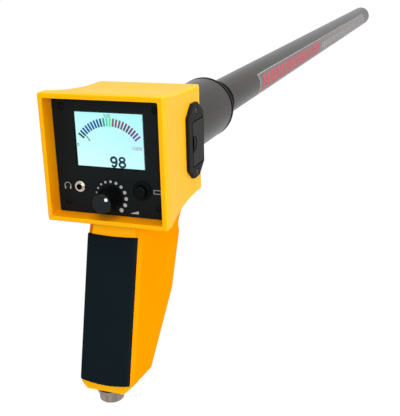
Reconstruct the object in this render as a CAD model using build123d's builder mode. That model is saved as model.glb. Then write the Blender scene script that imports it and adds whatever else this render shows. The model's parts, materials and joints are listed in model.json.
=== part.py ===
from build123d import *
import os
from math import cos, radians, sin, tan

# Hand-held magnetic locator: a moulded head with a hooded display, a raked handle under it, and a
# long probe tube that leaves the back of the head through a collar.
# Millimetres. X points to the operator's right, Y forward along the probe, Z up.
# The origin lies inside the grip, level with the middle of its pad and under the face of the panel.

# Clearances
SLIP = 0.05            # round a shank, spigot or nut in its hole
SEAT_GAP = 0.2         # round a piece set into an opening
TRAVEL_GAP = 0.35      # round a piece that slides or is pressed

# Probe tube, measured along Y from the face of the panel
AXIS_Z = 118.0         # probe axis above the middle of the grip
PROBE_R = 20.0
PROBE_WALL = 2.0
PROBE_REAR_Y = 104.0
PROBE_FRONT_Y = 1380.0
CAP_NOSE = 8.0
CAP_ROUND = 5.0
CAP_PLUG = 15.0
FILM_START = 117.0       # ahead of the gland
FILM_SETBACK = 83.0      # behind the front end of the tube
FILM_T = 0.25
FILM_GLUE = 0.03
FILM_HALF_ANGLE = 37.0

# Collar, end ring, gland and bush
COLLAR_R = 31.0
COLLAR_WALL = 3.0
COLLAR_WEB = 8.0
COLLAR_FRONT_Y = 222.7
COLLAR_SCREW_CIRCLE_R = 25.5
COLLAR_SCREW_ANGLES = (80, 195, 315)
RING_GROOVE = 0.9
RING_GROOVE_DEPTH = 1.2
RING_LIP = 4.5
RING_LIP_PROUD = 0.4
RING_LIP_CHAMFER = 0.8
RING_PLUG = 16.0
GLAND_R = 23.0
GLAND_FRONT_Y = 260.0
GLAND_CHAMFER = 1.4
GLAND_TAIL = 10.0
BUSH_LENGTH = 12.0
BUSH_OVERHANG = 4.0     # behind the rear end of the probe tube

# Sensors inside the probe
SENSOR_R = 6.5
SENSOR_WINDING_R = 5.8
SENSOR_FLANGE_T = 3.0
SENSOR_LENGTH = 60.0
SENSOR_SETBACK = 3.0     # carrier behind the plug of the end cap
SENSOR_BASELINE = 500.0
CARRIER_W = 18.0
CARRIER_T = 3.0
CARRIER_MARGIN = 5.0
TERMINAL_X = -10.0
TERMINAL_LENGTH = 16.0
TERMINAL_W = 12.0
TERMINAL_TOP = 10.0
DISC_T = 6.0
DISC_COUNT = 3
CABLE_R = 2.5
CABLE_X = -13.0

# Head housing
HEAD_RISE = 4.0        # middle of the head above the probe axis
HEAD_HALF_W = 46.4
HEAD_HALF_H = 45.5
HEAD_BACK_Y = 81.7
HEAD_WALL = 2.6
HEAD_BACK_WALL = 3.5
HEAD_CORNER_R = 2.0
HEAD_BACK_ROUND = 1.5
RIM_HALF_W = 52.1
RIM_HALF_H = 51.8
RIM_WALL = 4.2
RIM_ROUND = 1.4
RIM_LIP = 9.7           # straight band behind the rim, before the flare
HOOD_DEPTH = 13.7
HOOD_CORNER_R = 1.5
FLARE_LENGTH = 74.0
FLARE_STEPS = 6

# Face panel and its screws
PANEL_T = 2.0
PANEL_SCREW_X = 39.5
PANEL_SCREW_Z = 38.7
PANEL_BOSS_R = 4.8
PANEL_BOSS_LENGTH = 16.0
PANEL_RIB_W = 8.0
PANEL_RIB_T = 2.4
LEDGE_T = 3.0          # ledge that the panel lies on
LEDGE_W = 2.8

# Small screws: shank radius, head radius, head height
SCREW_R = 1.45
SCREW_HEAD_R = 2.8
SCREW_HEAD_H = 1.6
SCREW_GRIP = 10.0

# Display, placed above the probe axis
DISPLAY_W = 57.6
DISPLAY_H = 43.2
DISPLAY_UP = 17.5
WINDOW_MARGIN = 0.7
WINDOW_T = 1.0
WINDOW_RECESS = 0.3
WINDOW_CORNER_R = 0.8
GASKET_T = 0.8
GASKET_BORDER = 3.2
MODULE_T = 3.6
MODULE_CORNER_R = 1.0
SCREEN_SUNK = 0.3      # lit screen behind the border that carries the window
DISPLAY_BOARD_T = 1.6
DISPLAY_BOARD_W = 66.0
DISPLAY_BOARD_H = 56.0
DISPLAY_EARS_W = 86.0
DISPLAY_EARS_H = 32.0
RIBBON_SOCKET_H = 4.0
RIBBON_SOCKET_T = 2.0
STUD_R = 2.4
STUD_X = 39.4
STUD_Z = 12.0          # above and below the middle of the display
SMALL_SCREW_R = 1.2
SMALL_SCREW_HEAD_R = 2.3
SMALL_SCREW_HEAD_H = 1.6
SMALL_SCREW_GRIP = 5.2

# Sensitivity control
KNOB_X = -1.0
KNOB_UP = -28.5
KNOB_R = 8.6
KNOB_FRONT_Y = -18.0
KNOB_BACK_GAP = 1.0
KNOB_RECESS_R = 6.6
KNOB_RECESS = 5.0
KNOB_CHAMFER = 0.7
KNOB_SMOOTH_NOSE = 2.6
KNOB_FLUTES = 24
KNOB_FLUTE_R = 0.75
KNOB_FLUTE_OUT = 0.3      # middle of each flute outside the knob
POINTER_ANGLE = 49.0   # turn of the pointer from straight up, clockwise for the operator
POINTER_OFFSET = 5.8
DOT_R = 1.4
DOT_DEPTH = 0.8
DOT_PROUD = 0.15
GRUB_R = 1.5
GRUB_SUNK = 1.0
GRUB_Y = -10.5
SHAFT_R = 3.0
SHAFT_FRONT_Y = -16.0
SHAFT_TAIL = 7.8
BUSHING_R = 3.5
BUSHING_PROUD = 5.0
POT_R = 8.4
POT_LENGTH = 9.6
POT_END_WALL = 1.3
POT_NUT_FLATS = 10.0
POT_NUT_T = 2.2
LUG_W = 1.8
LUG_T = 0.8
LUG_LENGTH = 3.4
POT_LUG_PITCH = 5.0
POT_LUG_UP = 6.0

# Headphone socket
JACK_X = -27.3
JACK_UP = -20.9
JACK_BORE_R = 1.8
JACK_BUSH_R = 3.0
JACK_PROUD = 3.0
JACK_BODY_R = 4.4
JACK_BODY_LENGTH = 13.0
JACK_END_WALL = 1.5
JACK_LUG_OUT = 2.4
JACK_NUT_R = 4.7
JACK_NUT_T = 2.2
JACK_NUT_CHAMFER = 0.5

# Battery test button
BUTTON_X = 26.5
BUTTON_UP = -20.6
BUTTON_R = 4.9
BUTTON_FRONT_Y = -6.2
BUTTON_DOME = 1.6
BUTTON_TRAVEL = 1.8
BUTTON_FLANGE = 0.6    # flange that keeps the button behind the bezel
BUTTON_FLANGE_T = 1.2
BUTTON_STEM_R = 1.6
BUTTON_STEM = 4.0
BEZEL_R = 7.6
BEZEL_H = 2.4
BEZEL_CHAMFER = 0.9
SWITCH_R = 6.4
SWITCH_ROOM = 2.65     # left behind the stem when the button is pressed home
SWITCH_END_WALL = 3.0
SWITCH_NUT_FLATS = 16.0
SWITCH_NUT_T = 2.5
SWITCH_LUG_OUT = 2.5
SPRING_R = 3.2
SPRING_WIRE = 0.6        # square wire
SPRING_PITCH = 2.6

# Battery box on the right side of the head, drawn in the YZ plane
BATTERY_W = 17.5
BATTERY_H = 26.5
BATTERY_L = 46.0
BATTERY_ROUND = 2.0
TERMINAL_R = 3.6
TERMINAL_H = 2.4
TERMINAL_SPACING = 12.7
BATTERY_GAP = 0.3
TRAY_WALL = 1.2
BOX_WALL = 1.5
FLANGE_Y = 62.6
FLANGE_UP = 6.0
FLANGE_HALF_L = 31.5
FLANGE_HALF_W = 18.2
FLANGE_TAPER_Z = 21.7
FLANGE_END_HALF_W = 5.5
FLANGE_T = 3.6
FLANGE_CORNER_R = 2.5
FLANGE_CHAMFER = 0.8
BOX_SCREW_Y = 63.6
BOX_SCREW_UP = 4.75    # middle of the two screws above the probe axis
BOX_SCREW_Z = 26.2
BOX_BOSS_R = 4.0
BOX_BOSS_LENGTH = 6.0
DRAWER_Y = 65.8
DRAWER_UP = 4.1
DRAWER_W = 26.6
DRAWER_H = 38.0
DRAWER_FRONT_T = 2.6
DRAWER_CORNER_R = 1.5
NOTCH_W = 3.6
NOTCH_H = 14.3
NOTCH_UP = 0.6         # middle of the finger notch above the middle of the drawer
CONTACT_T = 0.6
CONTACT_W = 8.0
CONTACT_PAD_R = 2.4
CONTACT_PAD_H = 1.2
CONTACT_GAP = 0.3
TAB_W = 2.4
TAB_LENGTH = 4.4

# Main board on the floor of the head
BOARD_W = 76.0
BOARD_REAR_Y = 22.0
BOARD_FRONT_Y = 53.0
BOARD_T = 1.6
BOARD_LIFT = 6.0
BOARD_HOLE_INSET = 3.8
STANDOFF_R = 3.0
BUZZER_R = 7.0
BUZZER_H = 7.5
BUZZER_PORT_R = 1.2
BUZZER_PORT = 2.0
BUZZER_X = 24.0
BUZZER_Y = 42.0
HEADER_SIZE = 5.0
HEADER_H = 5.0
HEADER_ROW_Y = 27.0    # headers for the leads from the panel and the handle
RIBBON_ROW_Y = 32.0
CABLE_HEADER_Y = 47.0  # headers for the sensor cable and the battery leads
BATTERY_LEAD_X = -7.3
BATTERY_LEAD_PITCH = 2.6

# Handle
RAKE = 15.0
GRIP_BACK = 17.7       # rear face of the handle behind the origin
GRIP_HALF_W = 24.4
GRIP_DRAFT = 4.0       # each side opens out towards the front
GRIP_CHAMFER = 3.0
NECK_CHAMFER = 6.4
NECK_FACET_TOP_Z = 68.0
NECK_FACET_DROP = 25.0
HANDLE_WALL = 3.0
HANDLE_BOTTOM_Z = -67.0
HANDLE_BOTTOM_CHAMFER = 7.5
HANDLE_TOP_Z = 78.0    # hidden in the floor of the head
SEAM_Z = 70.0          # joint between the head's saddle and the handle
FRONT_BOTTOM_Y = -3.0
KINK_Y = 50.5
KINK_Z = -7.0
KINK_ROUND = 12.0
SHOULDER_Y = 71.5
SHOULDER_Z = 41.0
SHOULDER_ROUND = 4.0
NOTCH_Y = 68.5
NOTCH_Z = 46.5
NOTCH_ROUND = 6.0
LIP_Y = 81.0
LIP_Z = 60.5
FRONT_EDGE_ROUND = 3.5
GRIP_REACH = 160.0     # longer than any side of the handle
HANDLE_SCREW_YS = (22.0, 60.0)
HANDLE_SCREW_R = 1.95
HANDLE_SCREW_HEAD_R = 3.5
HANDLE_SCREW_HEAD_H = 2.4
HANDLE_BOSS_R = 5.0
HANDLE_BOSS_INSET = 3.0
HANDLE_BOSS_LENGTH = 14.0
HANDLE_SCREW_BITE = 10.0
LEAD_HOLE_Y = 18.0
LEAD_HOLE_R = 3.2

# Grip pad
PAD_TOP = 60.4         # upper corners above the origin, along the grip
PAD_TOP_DIP = 1.1
PAD_BOTTOM = 61.8      # lower corners below it
PAD_BOTTOM_DROP = 2.5
PAD_HALF_W = 21.4
PAD_T = 3.4
PAD_CORNER_R = 1.0
PAD_ROUND = 1.2

# Connector at the bottom of the handle
CONNECTOR_Y = -24.3
CONNECTOR_FLANGE_R = 11.8
CONNECTOR_FLANGE_T = 2.6
CONNECTOR_BARREL_R = 10.2
CONNECTOR_BARREL_L = 8.2
CONNECTOR_NECK_R = 5.0
CONNECTOR_NECK_L = 7.7
CONNECTOR_SOCKET_R = 7.2
CONNECTOR_SOCKET = 6.0
CONNECTOR_CHAMFER = 0.8
CONNECTOR_FLUTES = 8
CONNECTOR_FLUTE_R = 0.9
CONNECTOR_FLUTE_OUT = 0.3
CONNECTOR_GASKET_T = 1.2
CONNECTOR_NUT_R = 6.5
CONNECTOR_NUT_T = 2.6
INSERT_T = 2.0
PIN_R = 0.8
PIN_LENGTH = 3.4
PIN_CIRCLE_R = 3.4
PIN_COUNT = 4

# Leads
LEAD_R = 1.6
LEAD_TAIL = 8.0        # straight run above the connector
LEAD_HEAD = 20.0       # straight run under the head
HANDLE_BEND = 20.0
HEAD_BEND = 4.0
LEAD_TOP_Z = 97.0
THIN_LEAD_R = 0.9
THIN_BEND = 3.0
RIBBON_W = 8.0
RIBBON_T = 0.5
RIBBON_X = 12.5
RIBBON_DROP = 23.5     # below the middle of the display
RIBBON_BEND = 6.0
CABLE_BEND = 8.0

# Places worked out from the sizes above
HEAD_Z = AXIS_Z + HEAD_RISE
FLOOR_Z = HEAD_Z - HEAD_HALF_H + HEAD_WALL
HEAD_INNER_BACK_Y = HEAD_BACK_Y - HEAD_BACK_WALL
FLARE_START_Y = RIM_LIP - HOOD_DEPTH
FLARE_END_Y = FLARE_START_Y + FLARE_LENGTH
LEDGE_BACK_Y = PANEL_T + LEDGE_T
OPENING_HALF_W = RIM_HALF_W - RIM_WALL
OPENING_HALF_H = RIM_HALF_H - RIM_WALL
INNER_HALF_W = HEAD_HALF_W - HEAD_WALL
INNER_HALF_H = HEAD_HALF_H - HEAD_WALL
COLLAR_BORE_R = COLLAR_R - COLLAR_WALL
RING_FRONT_Y = COLLAR_FRONT_Y + RING_GROOVE + RING_LIP
COLLAR_SCREWS = [
    (COLLAR_SCREW_CIRCLE_R * cos(radians(a)), AXIS_Z + COLLAR_SCREW_CIRCLE_R * sin(radians(a)))
    for a in COLLAR_SCREW_ANGLES
]
FILM_REAR_Y = GLAND_FRONT_Y + FILM_START
FILM_FRONT_Y = PROBE_FRONT_Y - FILM_SETBACK
CARRIER_FRONT_Y = PROBE_FRONT_Y - CAP_PLUG - SENSOR_SETBACK
SENSOR_FRONT_END_Y = CARRIER_FRONT_Y - CARRIER_MARGIN
SENSOR_REAR_END_Y = SENSOR_FRONT_END_Y - SENSOR_BASELINE
CARRIER_REAR_Y = SENSOR_REAR_END_Y - SENSOR_LENGTH - CARRIER_MARGIN - TERMINAL_LENGTH
CARRIER_TOP_Z = AXIS_Z - SENSOR_R
PANEL_SCREWS = [
    (side * PANEL_SCREW_X, HEAD_Z + level * PANEL_SCREW_Z)
    for side in (-1, 1)
    for level in (-1, 1)
]
DISPLAY_Z = AXIS_Z + DISPLAY_UP
WINDOW_W = DISPLAY_W + 2 * WINDOW_MARGIN
WINDOW_H = DISPLAY_H + 2 * WINDOW_MARGIN
WINDOW_BACK_Y = WINDOW_RECESS + WINDOW_T
APERTURE_W = WINDOW_W + 2 * SEAT_GAP
APERTURE_H = WINDOW_H + 2 * SEAT_GAP
MODULE_W = APERTURE_W + 2 * GASKET_BORDER
MODULE_H = APERTURE_H + 2 * GASKET_BORDER
MODULE_FRONT_Y = PANEL_T + GASKET_T
MODULE_BACK_Y = MODULE_FRONT_Y + MODULE_T
DISPLAY_BOARD_BACK_Y = MODULE_BACK_Y + DISPLAY_BOARD_T
STUDS = [(side * STUD_X, DISPLAY_Z + level * STUD_Z) for side in (-1, 1) for level in (-1, 1)]
RIBBON_Z = DISPLAY_Z - RIBBON_DROP
KNOB_Z = AXIS_Z + KNOB_UP
KNOB_BACK_Y = -KNOB_BACK_GAP
POINTER_X = sin(radians(POINTER_ANGLE))
POINTER_Z = cos(radians(POINTER_ANGLE))
DOT_X = KNOB_X + POINTER_OFFSET * POINTER_X
DOT_Z = KNOB_Z + POINTER_OFFSET * POINTER_Z
GRUB_PLANE = Plane(origin=(KNOB_X, GRUB_Y, KNOB_Z), x_dir=(0, 1, 0), z_dir=(-POINTER_X, 0, -POINTER_Z))
POT_BACK_Y = PANEL_T + POT_LENGTH
POT_LUG_Z = KNOB_Z + POT_LUG_UP
JACK_Z = AXIS_Z + JACK_UP
JACK_BACK_Y = PANEL_T + JACK_BODY_LENGTH
BUTTON_Z = AXIS_Z + BUTTON_UP
BUTTON_BACK_Y = TRAVEL_GAP + BUTTON_FLANGE_T
SWITCH_SEAT_Y = BUTTON_BACK_Y + BUTTON_STEM + BUTTON_TRAVEL + SWITCH_ROOM
SWITCH_LENGTH = SWITCH_SEAT_Y + SWITCH_END_WALL
FLANGE_Z = AXIS_Z + FLANGE_UP
FLANGE_X = HEAD_HALF_W + FLANGE_T
BOX_SCREWS = [(BOX_SCREW_Y, AXIS_Z + BOX_SCREW_UP + level * BOX_SCREW_Z) for level in (-1, 1)]
BOX_SCREW_SEAT_X = FLANGE_X - SCREW_HEAD_H
DRAWER_Z = AXIS_Z + DRAWER_UP
DRAWER_BACK_X = FLANGE_X - DRAWER_FRONT_T
POCKET_W = BATTERY_W + 2 * BATTERY_GAP
POCKET_H = BATTERY_H + 2 * BATTERY_GAP
TRAY_W = POCKET_W + 2 * TRAY_WALL
TRAY_H = POCKET_H + 2 * TRAY_WALL
BOX_INNER_W = TRAY_W + 2 * TRAVEL_GAP
BOX_INNER_H = TRAY_H + 2 * TRAVEL_GAP
BOX_W = BOX_INNER_W + 2 * BOX_WALL
BOX_H = BOX_INNER_H + 2 * BOX_WALL
BATTERY_BASE_X = DRAWER_BACK_X - BATTERY_GAP
BATTERY_TOP_X = BATTERY_BASE_X - BATTERY_L
TRAY_INNER_X = BATTERY_TOP_X - BATTERY_GAP
TRAY_END_X = TRAY_INNER_X - TRAY_WALL
TERMINAL_TIP_X = BATTERY_TOP_X - TERMINAL_H
BOX_INNER_X = TERMINAL_TIP_X - CONTACT_GAP - CONTACT_PAD_H - CONTACT_T
BOX_END_X = BOX_INNER_X - BOX_WALL
TERMINALS = [(DRAWER_Y, DRAWER_Z + level * TERMINAL_SPACING / 2) for level in (-1, 1)]
BOARD_Z = FLOOR_Z + BOARD_LIFT
BOARD_TOP_Z = BOARD_Z + BOARD_T
BOARD_HOLES = [
    (side * (BOARD_W / 2 - BOARD_HOLE_INSET), y)
    for side in (-1, 1)
    for y in (BOARD_REAR_Y + BOARD_HOLE_INSET, BOARD_FRONT_Y - BOARD_HOLE_INSET)
]
HEADER_TOP_Z = BOARD_TOP_Z + HEADER_H
POT_LEAD_X = KNOB_X - POT_LUG_PITCH
JACK_LEAD_X = JACK_X + JACK_LUG_OUT
BUTTON_LEAD_X = BUTTON_X + SWITCH_LUG_OUT
HEADERS = [(x, HEADER_ROW_Y) for x in (0, POT_LEAD_X, JACK_LEAD_X, BUTTON_LEAD_X)]
HEADERS = HEADERS + [(CABLE_X, CABLE_HEADER_Y), (BATTERY_LEAD_X, CABLE_HEADER_Y)]
RAKE_SIN = sin(radians(RAKE))
RAKE_COS = cos(radians(RAKE))
INTO_GRIP = Vector(0, RAKE_COS, -RAKE_SIN)
UP_GRIP = Vector(0, RAKE_SIN, RAKE_COS)
GRIP_SECTION = Plane(origin=(0, -GRIP_BACK, 0), x_dir=(1, 0, 0), z_dir=UP_GRIP)
GRIP_REAR = Plane(origin=(0, -GRIP_BACK, 0), x_dir=(1, 0, 0), z_dir=-INTO_GRIP)
CONNECTOR_SEAT_Z = HANDLE_BOTTOM_Z - CONNECTOR_GASKET_T
CONNECTOR_BARREL_Z = CONNECTOR_SEAT_Z - CONNECTOR_FLANGE_T
CONNECTOR_END_Z = CONNECTOR_BARREL_Z - CONNECTOR_BARREL_L
CONNECTOR_NECK_Z = CONNECTOR_SEAT_Z + CONNECTOR_NECK_L
SOCKET_TOP_Z = CONNECTOR_END_Z + CONNECTOR_SOCKET


def facing(y):
    """Plane square to the probe at distance y, seen from the operator: x right, y up."""
    return Plane.XZ.offset(-y)


def disc(x, z, radius, y_rear, y_front, mode=Mode.ADD):
    """Round stretch along Y, from y_rear (nearer the operator) to y_front."""
    with BuildSketch(facing(y_front)) as section:
        with Locations((x, z)):
            Circle(radius)
    extrude(section.sketch, amount=y_front - y_rear, mode=mode)


def slab(x, z, width, height, y_rear, y_front, radius=0, mode=Mode.ADD):
    """Rectangular stretch along Y, with rounded corners where a radius is given."""
    with BuildSketch(facing(y_front)) as section:
        with Locations((x, z)):
            if radius:
                RectangleRounded(width, height, radius)
            else:
                Rectangle(width, height)
    extrude(section.sketch, amount=y_front - y_rear, mode=mode)


def hexagon(x, z, across_flats, y_rear, y_front):
    """Hexagonal stretch along Y, for a nut."""
    with BuildSketch(facing(y_front)) as section:
        with Locations((x, z)):
            RegularPolygon(across_flats / 2, 6, major_radius=False)
    extrude(section.sketch, amount=y_front - y_rear)


def inside(y):
    """Plane square to the probe at distance y, seen from the inside of the head: x left, y up."""
    return Plane(origin=(0, y, 0), x_dir=(-1, 0, 0), z_dir=(0, 1, 0))


def post(x, y, radius, z_low, z_high, mode=Mode.ADD):
    """Upright round stretch."""
    with BuildSketch(Plane.XY.offset(z_low)) as section:
        with Locations((x, y)):
            Circle(radius)
    extrude(section.sketch, amount=z_high - z_low, mode=mode)


def block(x_low, x_high, y, z, width, height, radius=0, mode=Mode.ADD):
    """Rectangular stretch along X, of a width along Y and a height along Z."""
    with BuildSketch(Plane.YZ.offset(x_low)) as section:
        with Locations((y, z)):
            if radius:
                RectangleRounded(width, height, radius)
            else:
                Rectangle(width, height)
    extrude(section.sketch, amount=x_high - x_low, mode=mode)


def screws(seat, points, shank_r, head_r, head_h, grip):
    """Pan-head screws whose heads sit on a plane and whose shanks run in behind it."""
    with BuildSketch(seat) as heads:
        with Locations(*points):
            Circle(head_r)
    extrude(heads.sketch, amount=head_h)
    with BuildSketch(seat) as shanks:
        with Locations(*points):
            Circle(shank_r)
    extrude(shanks.sketch, amount=-grip)


def holes(seat, points, radius, depth):
    """Round holes that run in behind a plane."""
    with BuildSketch(seat) as mouths:
        with Locations(*points):
            Circle(radius)
    extrude(mouths.sketch, amount=-depth, mode=Mode.SUBTRACT)


def lead(points, radius, bend):
    """Insulated wire along straight runs joined by arcs."""
    with BuildLine() as route:
        if len(points) > 2:
            FilletPolyline(*points, radius=bend)
        else:
            Line(*points)
    with BuildSketch(Plane(origin=route.line @ 0, z_dir=route.line % 0)) as section:
        Circle(radius)
    sweep(section.sketch, path=route.line)


def flare_halves(y):
    """Half the head's outer width and height in its flared stretch."""
    grow = (1 - (y - FLARE_START_Y) / FLARE_LENGTH) ** 2
    half_w = HEAD_HALF_W + grow * (RIM_HALF_W - HEAD_HALF_W)
    half_h = HEAD_HALF_H + grow * (RIM_HALF_H - HEAD_HALF_H)
    return half_w, half_h


def rear_face_y(z):
    """Where the handle's rear face stands at height z."""
    return -GRIP_BACK + z * tan(radians(RAKE))


def side_half_width(y, z):
    """Half the handle's width at a place on its side."""
    depth = (y + GRIP_BACK) * RAKE_COS - z * RAKE_SIN
    return GRIP_HALF_W + (depth - GRIP_CHAMFER) * tan(radians(GRIP_DRAFT))


def grip_block(inset):
    """The handle's form, drawn in by an inset: its side outline, cut to its section and facets."""
    corners = {
        "rear_top": (rear_face_y(HANDLE_TOP_Z), HANDLE_TOP_Z),
        "rear_bottom": (rear_face_y(HANDLE_BOTTOM_Z), HANDLE_BOTTOM_Z),
        "front_bottom": (FRONT_BOTTOM_Y, HANDLE_BOTTOM_Z),
        "kink": (KINK_Y, KINK_Z),
        "shoulder": (SHOULDER_Y, SHOULDER_Z),
        "notch": (NOTCH_Y, NOTCH_Z),
        "lip": (LIP_Y, LIP_Z),
        "front_top": (LIP_Y, HANDLE_TOP_Z),
    }
    rounds = {"kink": KINK_ROUND, "shoulder": SHOULDER_ROUND, "notch": NOTCH_ROUND}
    with BuildSketch(Plane.YZ) as outline:
        with BuildLine():
            Polyline(*[corners[n] for n in ("lip", "front_top", "rear_top", "rear_bottom")])
            Polyline(*[corners[n] for n in ("rear_bottom", "front_bottom", "kink", "shoulder", "notch", "lip")])
        make_face()
        for name, radius in rounds.items():
            fillet(outline.vertices().sort_by_distance(corners[name])[0], radius)
        if inset:
            offset(amount=-inset, kind=Kind.INTERSECTION, mode=Mode.REPLACE)
    extrude(outline.sketch, amount=GRIP_REACH, both=True)
    rear_half = GRIP_HALF_W - GRIP_CHAMFER
    front_half = GRIP_HALF_W + (GRIP_REACH - GRIP_CHAMFER) * tan(radians(GRIP_DRAFT))
    with BuildSketch(GRIP_SECTION) as section:
        with BuildLine():
            Polyline(
                (-rear_half, 0),
                (rear_half, 0),
                (GRIP_HALF_W, GRIP_CHAMFER),
                (front_half, GRIP_REACH),
                (-front_half, GRIP_REACH),
                (-GRIP_HALF_W, GRIP_CHAMFER),
                close=True,
            )
        make_face()
        if inset:
            offset(amount=-inset, kind=Kind.INTERSECTION, mode=Mode.REPLACE)
    extrude(section.sketch, amount=GRIP_REACH, both=True, mode=Mode.INTERSECT)
    for side in (1, -1):
        # Broad facet on the neck that runs out into the narrow chamfer lower down
        across = Vector(side, 0, 0)
        normal = (across - INTO_GRIP) * NECK_FACET_DROP + UP_GRIP * (NECK_CHAMFER - GRIP_CHAMFER)
        normal = normal.normalized()
        start = Vector(0, rear_face_y(NECK_FACET_TOP_Z), NECK_FACET_TOP_Z)
        start = start + across * (GRIP_HALF_W - NECK_CHAMFER) - normal * inset
        split(bisect_by=Plane(origin=start, z_dir=normal), keep=Keep.BOTTOM)
        # Sloping lower corner
        along = Vector(side * RAKE_COS * tan(radians(GRIP_DRAFT)), 1, 0)
        normal = along.cross(Vector(side, 0, 1)).normalized() * side
        foot = side_half_width(0, HANDLE_BOTTOM_Z) - HANDLE_BOTTOM_CHAMFER
        start = Vector(side * foot, 0, HANDLE_BOTTOM_Z) - normal * inset
        split(bisect_by=Plane(origin=start, z_dir=normal), keep=Keep.BOTTOM)


def flange_stretch(gap=0, mode=Mode.ADD):
    """The battery flange's outline, grown by a gap and as thick as the flange."""
    with BuildSketch(Plane.YZ.offset(HEAD_HALF_W).shift_origin((HEAD_HALF_W, FLANGE_Y, FLANGE_Z))) as flange:
        with BuildLine():
            Polyline(
                (FLANGE_HALF_W, -FLANGE_TAPER_Z),
                (FLANGE_HALF_W, FLANGE_TAPER_Z),
                (FLANGE_END_HALF_W, FLANGE_HALF_L),
                (-FLANGE_END_HALF_W, FLANGE_HALF_L),
                (-FLANGE_HALF_W, FLANGE_TAPER_Z),
                (-FLANGE_HALF_W, -FLANGE_TAPER_Z),
                (-FLANGE_END_HALF_W, -FLANGE_HALF_L),
                (FLANGE_END_HALF_W, -FLANGE_HALF_L),
                close=True,
            )
        make_face()
        fillet(flange.vertices(), FLANGE_CORNER_R)
        if gap:
            offset(amount=gap)
    extrude(flange.sketch, amount=FLANGE_T, mode=mode)


HANDLE_SCREWS = [
    (side * (side_half_width(y, SEAM_Z) - HANDLE_WALL - HANDLE_BOSS_INSET), y)
    for y in HANDLE_SCREW_YS
    for side in (-1, 1)
]

# Grip form, whose top becomes the head's saddle and whose lower part becomes the handle
with BuildPart() as grip_form:
    grip_block(0)
    front_edges = grip_form.edges().filter_by(
        lambda e: abs(e.center().X) > GRIP_HALF_W
        and e.center().Y > FRONT_BOTTOM_Y
        and HANDLE_BOTTOM_Z + HANDLE_BOTTOM_CHAMFER < e.center().Z < LIP_Z
    )
    fillet(front_edges, FRONT_EDGE_ROUND)

with BuildPart() as grip_core:
    grip_block(HANDLE_WALL)

# Saddle that the handle bolts to, part of the head's moulding
with BuildPart() as saddle:
    add(grip_form.part)
    split(bisect_by=Plane.XY.offset(SEAM_Z), keep=Keep.TOP)
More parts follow.
